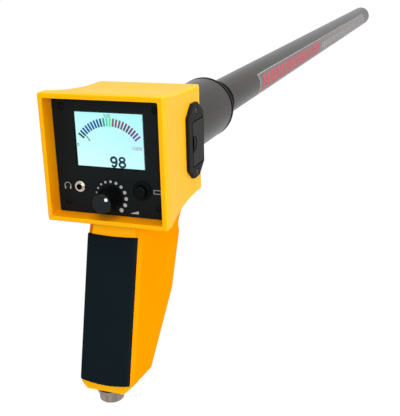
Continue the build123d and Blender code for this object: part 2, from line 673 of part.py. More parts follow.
# Head housing: flared hood, box and saddle, hollowed from the front
with BuildPart() as head_housing:
    for step in range(FLARE_STEPS + 1):
        y = FLARE_START_Y + FLARE_LENGTH * step / FLARE_STEPS
        half_w, half_h = flare_halves(y)
        with BuildSketch(facing(y)):
            with Locations((0, HEAD_Z)):
                RectangleRounded(2 * half_w, 2 * half_h, HEAD_CORNER_R)
    loft(ruled=True)
    slab(0, HEAD_Z, 2 * RIM_HALF_W, 2 * RIM_HALF_H, -HOOD_DEPTH, FLARE_START_Y, HEAD_CORNER_R)
    slab(0, HEAD_Z, 2 * HEAD_HALF_W, 2 * HEAD_HALF_H, FLARE_END_Y, HEAD_BACK_Y, HEAD_CORNER_R)
    fillet(head_housing.faces().sort_by(Axis.Y)[-1].edges(), HEAD_BACK_ROUND)
    fillet(head_housing.faces().sort_by(Axis.Y)[0].edges(), RIM_ROUND)
    add(saddle.part)
    hollows = (
        (OPENING_HALF_W, OPENING_HALF_H, -HOOD_DEPTH, PANEL_T),
        (INNER_HALF_W, INNER_HALF_H, PANEL_T, HEAD_INNER_BACK_Y),
    )
    for half_w, half_h, rear, front in hollows:
        slab(0, HEAD_Z, 2 * half_w, 2 * half_h, rear, front, HOOD_CORNER_R, Mode.SUBTRACT)
    ledge_h = HEAD_Z + OPENING_HALF_H - LEDGE_W - FLOOR_Z
    ledge_w = 2 * (OPENING_HALF_W - LEDGE_W)
    slab(0, FLOOR_Z + ledge_h / 2, ledge_w, ledge_h, PANEL_T, LEDGE_BACK_Y, HOOD_CORNER_R, Mode.SUBTRACT)
    for step in range(FLARE_STEPS + 1):
        y = LEDGE_BACK_Y + (FLARE_END_Y - LEDGE_BACK_Y) * step / FLARE_STEPS
        half_w, half_h = flare_halves(y)
        height = half_h + HEAD_Z - HEAD_WALL - FLOOR_Z
        with BuildSketch(facing(y)):
            with Locations((0, FLOOR_Z + height / 2)):
                RectangleRounded(2 * (half_w - HEAD_WALL), height, HOOD_CORNER_R)
    loft(ruled=True, mode=Mode.SUBTRACT)
    for x, z in PANEL_SCREWS:
        disc(x, z, PANEL_BOSS_R, PANEL_T, PANEL_T + PANEL_BOSS_LENGTH)
    # Ribs that tie the bosses to the side walls
    for side in (-1, 1):
        rib_x = side * (PANEL_SCREW_X + PANEL_RIB_W / 2)
        for level in (-1, 1):
            rib_z = HEAD_Z + level * PANEL_SCREW_Z
            slab(rib_x, rib_z, PANEL_RIB_W, PANEL_RIB_T, PANEL_T, PANEL_T + PANEL_BOSS_LENGTH)
    for y, z in BOX_SCREWS:
        with BuildSketch(Plane.YZ.offset(HEAD_HALF_W)):
            with Locations((y, z)):
                Circle(BOX_BOSS_R)
        extrude(amount=-HEAD_WALL - BOX_BOSS_LENGTH)
    flange_stretch(SEAT_GAP, Mode.SUBTRACT)
    block(INNER_HALF_W, HEAD_HALF_W, DRAWER_Y, DRAWER_Z, BOX_W + 2 * SLIP, BOX_H + 2 * SLIP, 0, Mode.SUBTRACT)
    holes(facing(PANEL_T), PANEL_SCREWS, SCREW_R + SLIP, SCREW_GRIP)
    holes(Plane.YZ.offset(BOX_SCREW_SEAT_X), BOX_SCREWS, SCREW_R + SLIP, SCREW_GRIP + SLIP)
    holes(Plane.XY.offset(FLOOR_Z), HANDLE_SCREWS, HANDLE_SCREW_R + SLIP, FLOOR_Z - SEAM_Z)
    holes(Plane.XY.offset(FLOOR_Z), [(0, LEAD_HOLE_Y)], LEAD_HOLE_R, FLOOR_Z - SEAM_Z)
    holes(facing(HEAD_INNER_BACK_Y), COLLAR_SCREWS, SCREW_R + SLIP, HEAD_BACK_WALL)
    holes(facing(HEAD_INNER_BACK_Y), [(CABLE_X, AXIS_Z)], CABLE_R + SEAT_GAP, HEAD_BACK_WALL)
head_housing.part.label = "head_housing"

# Face panel with its openings
with BuildPart() as face_panel:
    slab(
        0,
        HEAD_Z,
        2 * (OPENING_HALF_W - SEAT_GAP),
        2 * (OPENING_HALF_H - SEAT_GAP),
        0,
        PANEL_T,
        HOOD_CORNER_R,
    )
    slab(0, DISPLAY_Z, APERTURE_W, APERTURE_H, 0, PANEL_T, WINDOW_CORNER_R, Mode.SUBTRACT)
    holes(facing(0), [(KNOB_X, KNOB_Z)], BUSHING_R + SLIP, PANEL_T)
    holes(facing(0), [(JACK_X, JACK_Z)], JACK_BUSH_R + SLIP, PANEL_T)
    holes(facing(0), [(BUTTON_X, BUTTON_Z)], SWITCH_R + SLIP, PANEL_T)
    holes(facing(0), PANEL_SCREWS, SCREW_R + SLIP, PANEL_T)
face_panel.part.label = "face_panel"

with BuildPart() as panel_screws:
    screws(facing(0), PANEL_SCREWS, SCREW_R, SCREW_HEAD_R, SCREW_HEAD_H, SCREW_GRIP)
panel_screws.part.label = "panel_screws"

# Display: window, gasket, module and board, held to the panel by four studs
with BuildPart() as display_window:
    slab(0, DISPLAY_Z, WINDOW_W, WINDOW_H, WINDOW_RECESS, WINDOW_BACK_Y, WINDOW_CORNER_R)
display_window.part.label = "display_window"

with BuildPart() as display_gasket:
    slab(0, DISPLAY_Z, MODULE_W, MODULE_H, PANEL_T, MODULE_FRONT_Y, MODULE_CORNER_R)
    slab(0, DISPLAY_Z, APERTURE_W, APERTURE_H, PANEL_T, MODULE_FRONT_Y, WINDOW_CORNER_R, Mode.SUBTRACT)
display_gasket.part.label = "display_gasket"

with BuildPart() as display_module:
    slab(0, DISPLAY_Z, WINDOW_W, WINDOW_H, WINDOW_BACK_Y, MODULE_FRONT_Y, WINDOW_CORNER_R)
    slab(0, DISPLAY_Z, MODULE_W, MODULE_H, MODULE_FRONT_Y, MODULE_BACK_Y, MODULE_CORNER_R)
    screen_y = WINDOW_BACK_Y + SCREEN_SUNK
    slab(0, DISPLAY_Z, DISPLAY_W, DISPLAY_H, WINDOW_BACK_Y, screen_y, 0, Mode.SUBTRACT)
display_module.part.label = "display_module"

with BuildPart() as display_board:
    slab(0, DISPLAY_Z, DISPLAY_BOARD_W, DISPLAY_BOARD_H, MODULE_BACK_Y, DISPLAY_BOARD_BACK_Y, MODULE_CORNER_R)
    slab(0, DISPLAY_Z, DISPLAY_EARS_W, DISPLAY_EARS_H, MODULE_BACK_Y, DISPLAY_BOARD_BACK_Y, MODULE_CORNER_R)
    slab(
        RIBBON_X,
        RIBBON_Z,
        RIBBON_W + RIBBON_SOCKET_T,
        RIBBON_SOCKET_H,
        DISPLAY_BOARD_BACK_Y,
        DISPLAY_BOARD_BACK_Y + RIBBON_SOCKET_T,
    )
    holes(inside(DISPLAY_BOARD_BACK_Y), STUDS, SMALL_SCREW_R + SLIP, DISPLAY_BOARD_T)
display_board.part.label = "display_board"

with BuildPart() as display_studs:
    for x, z in STUDS:
        disc(x, z, STUD_R, PANEL_T, MODULE_BACK_Y)
    holes(inside(MODULE_BACK_Y), STUDS, SMALL_SCREW_R + SLIP, SMALL_SCREW_GRIP - DISPLAY_BOARD_T + SLIP)
display_studs.part.label = "display_studs"

with BuildPart() as display_screws:
    screws(
        inside(DISPLAY_BOARD_BACK_Y),
        STUDS,
        SMALL_SCREW_R,
        SMALL_SCREW_HEAD_R,
        SMALL_SCREW_HEAD_H,
        SMALL_SCREW_GRIP,
    )
display_screws.part.label = "display_screws"

# Sensitivity knob, turned up on its shaft and locked by a grub screw
with BuildPart() as knob:
    disc(KNOB_X, KNOB_Z, KNOB_R, KNOB_FRONT_Y, KNOB_BACK_Y)
    chamfer(knob.faces().sort_by(Axis.Y)[0].edges(), KNOB_CHAMFER)
    with BuildSketch(facing(KNOB_BACK_Y)):
        with Locations((KNOB_X, KNOB_Z)):
            with PolarLocations(KNOB_R + KNOB_FLUTE_OUT, KNOB_FLUTES):
                Circle(KNOB_FLUTE_R)
    extrude(amount=KNOB_BACK_Y - KNOB_FRONT_Y - KNOB_SMOOTH_NOSE, mode=Mode.SUBTRACT)
    disc(KNOB_X, KNOB_Z, KNOB_RECESS_R, KNOB_BACK_Y - KNOB_RECESS, KNOB_BACK_Y, Mode.SUBTRACT)
    disc(KNOB_X, KNOB_Z, SHAFT_R + SLIP, SHAFT_FRONT_Y - SLIP, KNOB_BACK_Y, Mode.SUBTRACT)
    disc(DOT_X, DOT_Z, DOT_R + SLIP, KNOB_FRONT_Y, KNOB_FRONT_Y + DOT_DEPTH, Mode.SUBTRACT)
    with BuildSketch(GRUB_PLANE):
        Circle(GRUB_R + SLIP)
    extrude(amount=KNOB_R, mode=Mode.SUBTRACT)
knob.part.label = "knob"

with BuildPart() as knob_dot:
    disc(DOT_X, DOT_Z, DOT_R, KNOB_FRONT_Y - DOT_PROUD, KNOB_FRONT_Y + DOT_DEPTH)
knob_dot.part.label = "knob_dot"

with BuildPart() as knob_grub_screw:
    with BuildSketch(GRUB_PLANE.offset(SHAFT_R + SLIP)):
        Circle(GRUB_R)
    extrude(amount=KNOB_R - GRUB_SUNK - SHAFT_R - SLIP)
knob_grub_screw.part.label = "knob_grub_screw"

# Potentiometer behind the panel, with its nut and its turning shaft
with BuildPart() as pot_body:
    disc(KNOB_X, KNOB_Z, POT_R, PANEL_T, POT_BACK_Y)
    disc(KNOB_X, KNOB_Z, BUSHING_R, -BUSHING_PROUD, PANEL_T)
    disc(KNOB_X, KNOB_Z, SHAFT_R + SLIP, -BUSHING_PROUD, POT_BACK_Y - POT_END_WALL, Mode.SUBTRACT)
    for step in (-1, 0, 1):
        slab(KNOB_X + step * POT_LUG_PITCH, POT_LUG_Z, LUG_W, LUG_T, POT_BACK_Y, POT_BACK_Y + LUG_LENGTH)
pot_body.part.label = "pot_body"

with BuildPart() as pot_nut:
    hexagon(KNOB_X, KNOB_Z, POT_NUT_FLATS, -POT_NUT_T, 0)
    holes(facing(-POT_NUT_T), [(KNOB_X, KNOB_Z)], BUSHING_R + SLIP, POT_NUT_T)
pot_nut.part.label = "pot_nut"

with BuildPart() as pot_shaft:
    disc(KNOB_X, KNOB_Z, SHAFT_R, SHAFT_FRONT_Y, PANEL_T + SHAFT_TAIL)
pot_shaft.part.label = "pot_shaft"

# Headphone socket
with BuildPart() as jack_socket:
    disc(JACK_X, JACK_Z, JACK_BODY_R, PANEL_T, JACK_BACK_Y)
    disc(JACK_X, JACK_Z, JACK_BUSH_R, -JACK_PROUD, PANEL_T)
    disc(JACK_X, JACK_Z, JACK_BORE_R, -JACK_PROUD, JACK_BACK_Y - JACK_END_WALL, Mode.SUBTRACT)
    for side in (-1, 1):
        slab(JACK_X + side * JACK_LUG_OUT, JACK_Z, LUG_W, LUG_T, JACK_BACK_Y, JACK_BACK_Y + LUG_LENGTH)
jack_socket.part.label = "jack_socket"

with BuildPart() as jack_nut:
    disc(JACK_X, JACK_Z, JACK_NUT_R, -JACK_NUT_T, 0)
    chamfer(jack_nut.faces().sort_by(Axis.Y)[0].edges(), JACK_NUT_CHAMFER)
    holes(facing(-JACK_NUT_T), [(JACK_X, JACK_Z)], JACK_BUSH_R + SLIP, JACK_NUT_T)
jack_nut.part.label = "jack_nut"

# Battery test button: bezel and switch body in one, nut, cap and return spring
with BuildPart() as button_bezel:
    disc(BUTTON_X, BUTTON_Z, BEZEL_R, -BEZEL_H, 0)
    chamfer(button_bezel.faces().sort_by(Axis.Y)[0].edges(), BEZEL_CHAMFER)
    disc(BUTTON_X, BUTTON_Z, SWITCH_R, 0, SWITCH_LENGTH)
    disc(BUTTON_X, BUTTON_Z, BUTTON_R + TRAVEL_GAP, -BEZEL_H, SWITCH_SEAT_Y, Mode.SUBTRACT)
    disc(BUTTON_X, BUTTON_Z, BUTTON_R + BUTTON_FLANGE + TRAVEL_GAP, 0, SWITCH_SEAT_Y, Mode.SUBTRACT)
    for side in (-1, 1):
        lug_x = BUTTON_X + side * SWITCH_LUG_OUT
        slab(lug_x, BUTTON_Z, LUG_W, LUG_T, SWITCH_LENGTH, SWITCH_LENGTH + LUG_LENGTH)
button_bezel.part.label = "button_bezel"

with BuildPart() as button_nut:
    hexagon(BUTTON_X, BUTTON_Z, SWITCH_NUT_FLATS, PANEL_T, PANEL_T + SWITCH_NUT_T)
    holes(facing(PANEL_T), [(BUTTON_X, BUTTON_Z)], SWITCH_R + SLIP, SWITCH_NUT_T)
button_nut.part.label = "button_nut"

with BuildPart() as button_cap:
    disc(BUTTON_X, BUTTON_Z, BUTTON_R, BUTTON_FRONT_Y, BUTTON_BACK_Y)
    fillet(button_cap.faces().sort_by(Axis.Y)[0].edges(), BUTTON_DOME)
    disc(BUTTON_X, BUTTON_Z, BUTTON_R + BUTTON_FLANGE, TRAVEL_GAP, BUTTON_BACK_Y)
    disc(BUTTON_X, BUTTON_Z, BUTTON_STEM_R, BUTTON_BACK_Y, BUTTON_BACK_Y + BUTTON_STEM)
button_cap.part.label = "button_cap"

with BuildPart() as button_spring:
    spring_start = BUTTON_BACK_Y + SPRING_WIRE / 2
    spring_end = SWITCH_SEAT_Y - SPRING_WIRE / 2
    with BuildLine():
        coil = Helix(
            SPRING_PITCH,
            spring_end - spring_start,
            SPRING_R,
            center=(BUTTON_X, spring_start, BUTTON_Z),
            direction=(0, 1, 0),
        )
    with BuildSketch(Plane(origin=coil @ 0, z_dir=coil % 0)):
        Rectangle(SPRING_WIRE, SPRING_WIRE)
    sweep()
button_spring.part.label = "button_spring"

# Battery box: flange outside the head, sleeve inside it
with BuildPart() as battery_box:
    flange_stretch()
    chamfer(battery_box.faces().sort_by(Axis.X)[-1].edges(), FLANGE_CHAMFER)
    block(BOX_END_X, HEAD_HALF_W, DRAWER_Y, DRAWER_Z, BOX_W, BOX_H)
    block(
        DRAWER_BACK_X - TRAVEL_GAP,
        FLANGE_X,
        DRAWER_Y,
        DRAWER_Z,
        DRAWER_W + 2 * TRAVEL_GAP,
        DRAWER_H + 2 * TRAVEL_GAP,
        DRAWER_CORNER_R,
        Mode.SUBTRACT,
    )
    block(BOX_INNER_X, FLANGE_X, DRAWER_Y, DRAWER_Z, BOX_INNER_W, BOX_INNER_H, 0, Mode.SUBTRACT)
    for y, z in TERMINALS:
        block(BOX_END_X, BOX_INNER_X, y, z, CONTACT_T + 2 * SLIP, TAB_W + 2 * SLIP, 0, Mode.SUBTRACT)
    holes(Plane.YZ.offset(FLANGE_X), BOX_SCREWS, SCREW_HEAD_R + SEAT_GAP, SCREW_HEAD_H)
    holes(Plane.YZ.offset(FLANGE_X), BOX_SCREWS, SCREW_R + SLIP, FLANGE_T)
battery_box.part.label = "battery_box"

with BuildPart() as battery_box_screws:
    screws(Plane.YZ.offset(BOX_SCREW_SEAT_X), BOX_SCREWS, SCREW_R, SCREW_HEAD_R, SCREW_HEAD_H, SCREW_GRIP)
battery_box_screws.part.label = "battery_box_screws"

# Battery drawer: front plate with a finger notch, and a tray open on the operator's side
with BuildPart() as battery_drawer:
    block(DRAWER_BACK_X, FLANGE_X, DRAWER_Y, DRAWER_Z, DRAWER_W, DRAWER_H, DRAWER_CORNER_R)
    block(TRAY_END_X, DRAWER_BACK_X, DRAWER_Y, DRAWER_Z, TRAY_W, TRAY_H)
    block(
        TRAY_INNER_X,
        DRAWER_BACK_X,
        DRAWER_Y - TRAY_WALL / 2,
        DRAWER_Z,
        POCKET_W + TRAY_WALL,
        POCKET_H,
        0,
        Mode.SUBTRACT,
    )
    for y, z in TERMINALS:
        block(
            TRAY_END_X,
            TRAY_INNER_X,
            y - TRAY_WALL / 2,
            z,
            POCKET_W + TRAY_WALL,
            2 * (TERMINAL_R + BATTERY_GAP),
            0,
            Mode.SUBTRACT,
        )
    block(
        DRAWER_BACK_X,
        FLANGE_X,
        DRAWER_Y - DRAWER_W / 2 + NOTCH_W / 2,
        DRAWER_Z + NOTCH_UP,
        NOTCH_W,
        NOTCH_H,
        0,
        Mode.SUBTRACT,
    )
battery_drawer.part.label = "battery_drawer"

with BuildPart() as battery:
    block(BATTERY_TOP_X, BATTERY_BASE_X, DRAWER_Y, DRAWER_Z, BATTERY_W, BATTERY_H, BATTERY_ROUND)
    with BuildSketch(Plane.YZ.offset(BATTERY_TOP_X)):
        with Locations(*TERMINALS):
            Circle(TERMINAL_R)
    extrude(amount=-TERMINAL_H)
battery.part.label = "battery"

with BuildPart() as battery_contacts:
    for y, z in TERMINALS:
        block(BOX_INNER_X, BOX_INNER_X + CONTACT_T, y, z, CONTACT_W, CONTACT_W)
        block(BOX_INNER_X - TAB_LENGTH, BOX_INNER_X, y, z, CONTACT_T, TAB_W)
    with BuildSketch(Plane.YZ.offset(BOX_INNER_X + CONTACT_T)):
        with Locations(*TERMINALS):
            Circle(CONTACT_PAD_R)
    extrude(amount=CONTACT_PAD_H)
battery_contacts.part.label = "battery_contacts"

# Main board with its lead headers, standoffs, screws and buzzer
with BuildPart() as main_board:
    with BuildSketch(Plane.XY.offset(BOARD_Z)):
        with Locations((0, (BOARD_REAR_Y + BOARD_FRONT_Y) / 2)):
            Rectangle(BOARD_W, BOARD_FRONT_Y - BOARD_REAR_Y)
    extrude(amount=BOARD_T)
    with BuildSketch(Plane.XY.offset(BOARD_TOP_Z)):
        with Locations(*HEADERS):
            Rectangle(HEADER_SIZE, HEADER_SIZE)
        with Locations((RIBBON_X, RIBBON_ROW_Y)):
            Rectangle(RIBBON_W + RIBBON_SOCKET_T, HEADER_SIZE)
    extrude(amount=HEADER_H)
    holes(Plane.XY.offset(BOARD_TOP_Z), BOARD_HOLES, SMALL_SCREW_R + SLIP, BOARD_T)
main_board.part.label = "main_board"

with BuildPart() as board_standoffs:
    for x, y in BOARD_HOLES:
        post(x, y, STANDOFF_R, FLOOR_Z, BOARD_Z)
    holes(Plane.XY.offset(BOARD_Z), BOARD_HOLES, SMALL_SCREW_R + SLIP, SMALL_SCREW_GRIP - BOARD_T + SLIP)
board_standoffs.part.label = "board_standoffs"

with BuildPart() as board_screws:
    screws(
        Plane.XY.offset(BOARD_TOP_Z),
        BOARD_HOLES,
        SMALL_SCREW_R,
        SMALL_SCREW_HEAD_R,
        SMALL_SCREW_HEAD_H,
        SMALL_SCREW_GRIP,
    )
board_screws.part.label = "board_screws"

with BuildPart() as buzzer:
    post(BUZZER_X, BUZZER_Y, BUZZER_R, BOARD_TOP_Z, BOARD_TOP_Z + BUZZER_H)
    holes(Plane.XY.offset(BOARD_TOP_Z + BUZZER_H), [(BUZZER_X, BUZZER_Y)], BUZZER_PORT_R, BUZZER_PORT)
buzzer.part.label = "buzzer"

# Collar bolted to the back of the head, and the ring in its front end
with BuildPart() as collar_tube:
    disc(0, AXIS_Z, COLLAR_R, HEAD_BACK_Y, COLLAR_FRONT_Y)
    disc(0, AXIS_Z, COLLAR_BORE_R, HEAD_BACK_Y + COLLAR_WEB, COLLAR_FRONT_Y, Mode.SUBTRACT)
    holes(facing(HEAD_BACK_Y), COLLAR_SCREWS, SCREW_R + SLIP, SCREW_GRIP - HEAD_BACK_WALL + SLIP)
    holes(facing(HEAD_BACK_Y), [(CABLE_X, AXIS_Z)], CABLE_R + SEAT_GAP, COLLAR_WEB)
collar_tube.part.label = "collar_tube"

with BuildPart() as collar_screws:
    screws(facing(HEAD_INNER_BACK_Y), COLLAR_SCREWS, SCREW_R, SCREW_HEAD_R, SCREW_HEAD_H, SCREW_GRIP)
collar_screws.part.label = "collar_screws"

with BuildPart() as collar_end_ring:
    lip_r = COLLAR_R + RING_LIP_PROUD
    disc(0, AXIS_Z, lip_r, COLLAR_FRONT_Y + RING_GROOVE, RING_FRONT_Y)
    chamfer(collar_end_ring.faces().sort_by(Axis.Y)[-1].edges(), RING_LIP_CHAMFER)
    disc(0, AXIS_Z, COLLAR_R - RING_GROOVE_DEPTH, COLLAR_FRONT_Y, COLLAR_FRONT_Y + RING_GROOVE)
    disc(0, AXIS_Z, COLLAR_BORE_R - SLIP, COLLAR_FRONT_Y - RING_PLUG, COLLAR_FRONT_Y)
    disc(0, AXIS_Z, GLAND_R + SLIP, COLLAR_FRONT_Y - RING_PLUG, RING_FRONT_Y, Mode.SUBTRACT)
collar_end_ring.part.label = "collar_end_ring"

with BuildPart() as tube_gland:
    disc(0, AXIS_Z, GLAND_R, RING_FRONT_Y - GLAND_TAIL, GLAND_FRONT_Y)
    chamfer(tube_gland.faces().sort_by(Axis.Y)[-1].edges(), GLAND_CHAMFER)
    disc(0, AXIS_Z, PROBE_R + SLIP, RING_FRONT_Y - GLAND_TAIL, GLAND_FRONT_Y, Mode.SUBTRACT)
tube_gland.part.label = "tube_gland"

with BuildPart() as tube_bush:
    bush_rear = PROBE_REAR_Y - BUSH_OVERHANG
    disc(0, AXIS_Z, COLLAR_BORE_R - SLIP, bush_rear, bush_rear + BUSH_LENGTH)
    disc(0, AXIS_Z, PROBE_R + SLIP, bush_rear, bush_rear + BUSH_LENGTH, Mode.SUBTRACT)
tube_bush.part.label = "tube_bush"

# Probe tube with its end cap and the film down its right side
with BuildPart() as probe_tube:
    disc(0, AXIS_Z, PROBE_R, PROBE_REAR_Y, PROBE_FRONT_Y)
    disc(0, AXIS_Z, PROBE_R - PROBE_WALL, PROBE_REAR_Y, PROBE_FRONT_Y, Mode.SUBTRACT)
probe_tube.part.label = "probe_tube"

with BuildPart() as probe_end_cap:
    disc(0, AXIS_Z, PROBE_R, PROBE_FRONT_Y, PROBE_FRONT_Y + CAP_NOSE)
    fillet(probe_end_cap.faces().sort_by(Axis.Y)[-1].edges(), CAP_ROUND)
    disc(0, AXIS_Z, PROBE_R - PROBE_WALL - SLIP, PROBE_FRONT_Y - CAP_PLUG, PROBE_FRONT_Y)
probe_end_cap.part.label = "probe_end_cap"

with BuildPart() as tube_label_film:
    with BuildSketch(facing(FILM_FRONT_Y)):
        with BuildLine():
            sweep_angle = 2 * FILM_HALF_ANGLE
            under = CenterArc((0, AXIS_Z), PROBE_R + FILM_GLUE, -FILM_HALF_ANGLE, sweep_angle)
            over = CenterArc((0, AXIS_Z), PROBE_R + FILM_GLUE + FILM_T, -FILM_HALF_ANGLE, sweep_angle)
            Line(under @ 0, over @ 0)
            Line(under @ 1, over @ 1)
        make_face()
    extrude(amount=FILM_FRONT_Y - FILM_REAR_Y)
tube_label_film.part.label = "tube_label_film"

# Sensors on their carrier inside the probe, with centring discs and the cable to the head
with BuildPart() as sensor_carrier:
    slab(0, CARRIER_TOP_Z - CARRIER_T / 2, CARRIER_W, CARRIER_T, CARRIER_REAR_Y, CARRIER_FRONT_Y)
    slab(
        TERMINAL_X,
        CARRIER_TOP_Z + TERMINAL_TOP / 2,
        TERMINAL_W,
        TERMINAL_TOP,
        CARRIER_REAR_Y,
        CARRIER_REAR_Y + TERMINAL_LENGTH,
    )
sensor_carrier.part.label = "sensor_carrier"

with BuildPart() as carrier_discs:
    bay = SENSOR_BASELINE - SENSOR_LENGTH
    for step in range(1, DISC_COUNT + 1):
        disc_y = SENSOR_REAR_END_Y + bay * step / (DISC_COUNT + 1)
        disc(0, AXIS_Z, PROBE_R - PROBE_WALL - SLIP, disc_y, disc_y + DISC_T)
        slot_z = CARRIER_TOP_Z - CARRIER_T / 2
        slot_w = CARRIER_W + 2 * SLIP
        slab(0, slot_z, slot_w, CARRIER_T + 2 * SLIP, disc_y, disc_y + DISC_T, 0, Mode.SUBTRACT)
carrier_discs.part.label = "carrier_discs"

with BuildPart() as fluxgate_front:
    disc(0, AXIS_Z, SENSOR_WINDING_R, SENSOR_FRONT_END_Y - SENSOR_LENGTH, SENSOR_FRONT_END_Y)
    for end in (SENSOR_FRONT_END_Y - SENSOR_LENGTH, SENSOR_FRONT_END_Y - SENSOR_FLANGE_T):
        disc(0, AXIS_Z, SENSOR_R, end, end + SENSOR_FLANGE_T)
fluxgate_front.part.label = "fluxgate_front"

with BuildPart() as fluxgate_rear:
    add(fluxgate_front.part.moved(Location((0, -SENSOR_BASELINE, 0))))
fluxgate_rear.part.label = "fluxgate_rear"

with BuildPart() as sensor_cable:
    lead(
        [
            (CABLE_X, CARRIER_REAR_Y, AXIS_Z),
            (CABLE_X, CABLE_HEADER_Y, AXIS_Z),
            (CABLE_X, CABLE_HEADER_Y, HEADER_TOP_Z),
        ],
        CABLE_R,
        CABLE_BEND,
    )
sensor_cable.part.label = "sensor_cable"

# Handle shell, open at the top where it meets the saddle
with BuildPart() as handle_shell:
    add(grip_form.part)
    split(bisect_by=Plane.XY.offset(SEAM_Z), keep=Keep.BOTTOM)
    add(grip_core.part, mode=Mode.SUBTRACT)
    for x, y in HANDLE_SCREWS:
        post(x, y, HANDLE_BOSS_R, SEAM_Z - HANDLE_BOSS_LENGTH, SEAM_Z)
    holes(Plane.XY.offset(SEAM_Z), HANDLE_SCREWS, HANDLE_SCREW_R + SLIP, HANDLE_SCREW_BITE + SLIP)
    inner_bottom = HANDLE_BOTTOM_Z + HANDLE_WALL
    post(0, CONNECTOR_Y, CONNECTOR_NECK_R + SLIP, HANDLE_BOTTOM_Z, inner_bottom, Mode.SUBTRACT)
handle_shell.part.label = "handle_shell"

with BuildPart() as handle_screws:
    screws(
        Plane.XY.offset(FLOOR_Z),
        HANDLE_SCREWS,
        HANDLE_SCREW_R,
        HANDLE_SCREW_HEAD_R,
        HANDLE_SCREW_HEAD_H,
        FLOOR_Z - SEAM_Z + HANDLE_SCREW_BITE,
    )
handle_screws.part.label = "handle_screws"

with BuildPart() as grip_pad:
    with BuildSketch(GRIP_REAR) as pad_outline:
        with BuildLine():
            top = ThreePointArc((-PAD_HALF_W, PAD_TOP), (0, PAD_TOP - PAD_TOP_DIP), (PAD_HALF_W, PAD_TOP))
            low_middle = (0, -PAD_BOTTOM - PAD_BOTTOM_DROP)
            bottom = ThreePointArc((-PAD_HALF_W, -PAD_BOTTOM), low_middle, (PAD_HALF_W, -PAD_BOTTOM))
            Line(top @ 0, bottom @ 0)
            Line(top @ 1, bottom @ 1)
        make_face()
        fillet(pad_outline.vertices(), PAD_CORNER_R)
    extrude(amount=PAD_T)
    fillet(grip_pad.faces().sort_by(Axis((0, 0, 0), -INTO_GRIP))[-1].edges(), PAD_ROUND)
grip_pad.part.label = "grip_pad"

# Connector under the handle
with BuildPart() as connector_gasket:
    post(0, CONNECTOR_Y, CONNECTOR_FLANGE_R, CONNECTOR_SEAT_Z, HANDLE_BOTTOM_Z)
    post(0, CONNECTOR_Y, CONNECTOR_NECK_R + SLIP, CONNECTOR_SEAT_Z, HANDLE_BOTTOM_Z, Mode.SUBTRACT)
connector_gasket.part.label = "connector_gasket"

with BuildPart() as connector_body:
    post(0, CONNECTOR_Y, CONNECTOR_BARREL_R, CONNECTOR_END_Z, CONNECTOR_BARREL_Z)
    chamfer(connector_body.faces().sort_by(Axis.Z)[0].edges(), CONNECTOR_CHAMFER)
    with BuildSketch(Plane.XY.offset(CONNECTOR_END_Z)):
        with Locations((0, CONNECTOR_Y)):
            with PolarLocations(CONNECTOR_BARREL_R + CONNECTOR_FLUTE_OUT, CONNECTOR_FLUTES):
                Circle(CONNECTOR_FLUTE_R)
    extrude(amount=CONNECTOR_BARREL_L, mode=Mode.SUBTRACT)
    post(0, CONNECTOR_Y, CONNECTOR_FLANGE_R, CONNECTOR_BARREL_Z, CONNECTOR_SEAT_Z)
    post(0, CONNECTOR_Y, CONNECTOR_NECK_R, CONNECTOR_SEAT_Z, CONNECTOR_NECK_Z)
    post(0, CONNECTOR_Y, CONNECTOR_SOCKET_R, CONNECTOR_END_Z, SOCKET_TOP_Z, Mode.SUBTRACT)
connector_body.part.label = "connector_body"

with BuildPart() as connector_insert:
    post(0, CONNECTOR_Y, CONNECTOR_SOCKET_R - SLIP, SOCKET_TOP_Z - INSERT_T, SOCKET_TOP_Z)
    with BuildSketch(Plane.XY.offset(SOCKET_TOP_Z)):
        with Locations((0, CONNECTOR_Y)):
            with PolarLocations(PIN_CIRCLE_R, PIN_COUNT):
                Circle(PIN_R + SLIP)
    extrude(amount=-INSERT_T, mode=Mode.SUBTRACT)
connector_insert.part.label = "connector_insert"

with BuildPart() as connector_pins:
    with BuildSketch(Plane.XY.offset(SOCKET_TOP_Z)):
        with Locations((0, CONNECTOR_Y)):
            with PolarLocations(PIN_CIRCLE_R, PIN_COUNT):
                Circle(PIN_R)
    extrude(amount=-INSERT_T - PIN_LENGTH)
connector_pins.part.label = "connector_pins"

with BuildPart() as connector_nut:
    nut_low = HANDLE_BOTTOM_Z + HANDLE_WALL
    post(0, CONNECTOR_Y, CONNECTOR_NUT_R, nut_low, nut_low + CONNECTOR_NUT_T)
    post(0, CONNECTOR_Y, CONNECTOR_NECK_R + SLIP, nut_low, nut_low + CONNECTOR_NUT_T, Mode.SUBTRACT)
connector_nut.part.label = "connector_nut"

# Leads inside the handle and the head
with BuildPart() as connector_lead:
    lead(
        [
            (0, CONNECTOR_Y, CONNECTOR_NECK_Z),
            (0, CONNECTOR_Y, CONNECTOR_NECK_Z + LEAD_TAIL),
            (0, LEAD_HOLE_Y, SEAM_Z - LEAD_HEAD),
            (0, LEAD_HOLE_Y, LEAD_TOP_Z),
            (0, HEADER_ROW_Y, LEAD_TOP_Z),
            (0, HEADER_ROW_Y, HEADER_TOP_Z),
        ],
        LEAD_R,
        [HANDLE_BEND, HANDLE_BEND, HEAD_BEND, HEAD_BEND],
    )
connector_lead.part.label = "connector_lead"

with BuildPart() as battery_lead:
    for (y, z), shift in zip(TERMINALS, (BATTERY_LEAD_PITCH / 2, -BATTERY_LEAD_PITCH / 2)):
        lead(
            [
                (BATTERY_LEAD_X, y - CONTACT_T / 2, z),
                (BATTERY_LEAD_X, CABLE_HEADER_Y + shift, z),
                (BATTERY_LEAD_X, CABLE_HEADER_Y + shift, HEADER_TOP_Z),
            ],
            THIN_LEAD_R,
            THIN_BEND,
        )
battery_lead.part.label = "battery_lead"

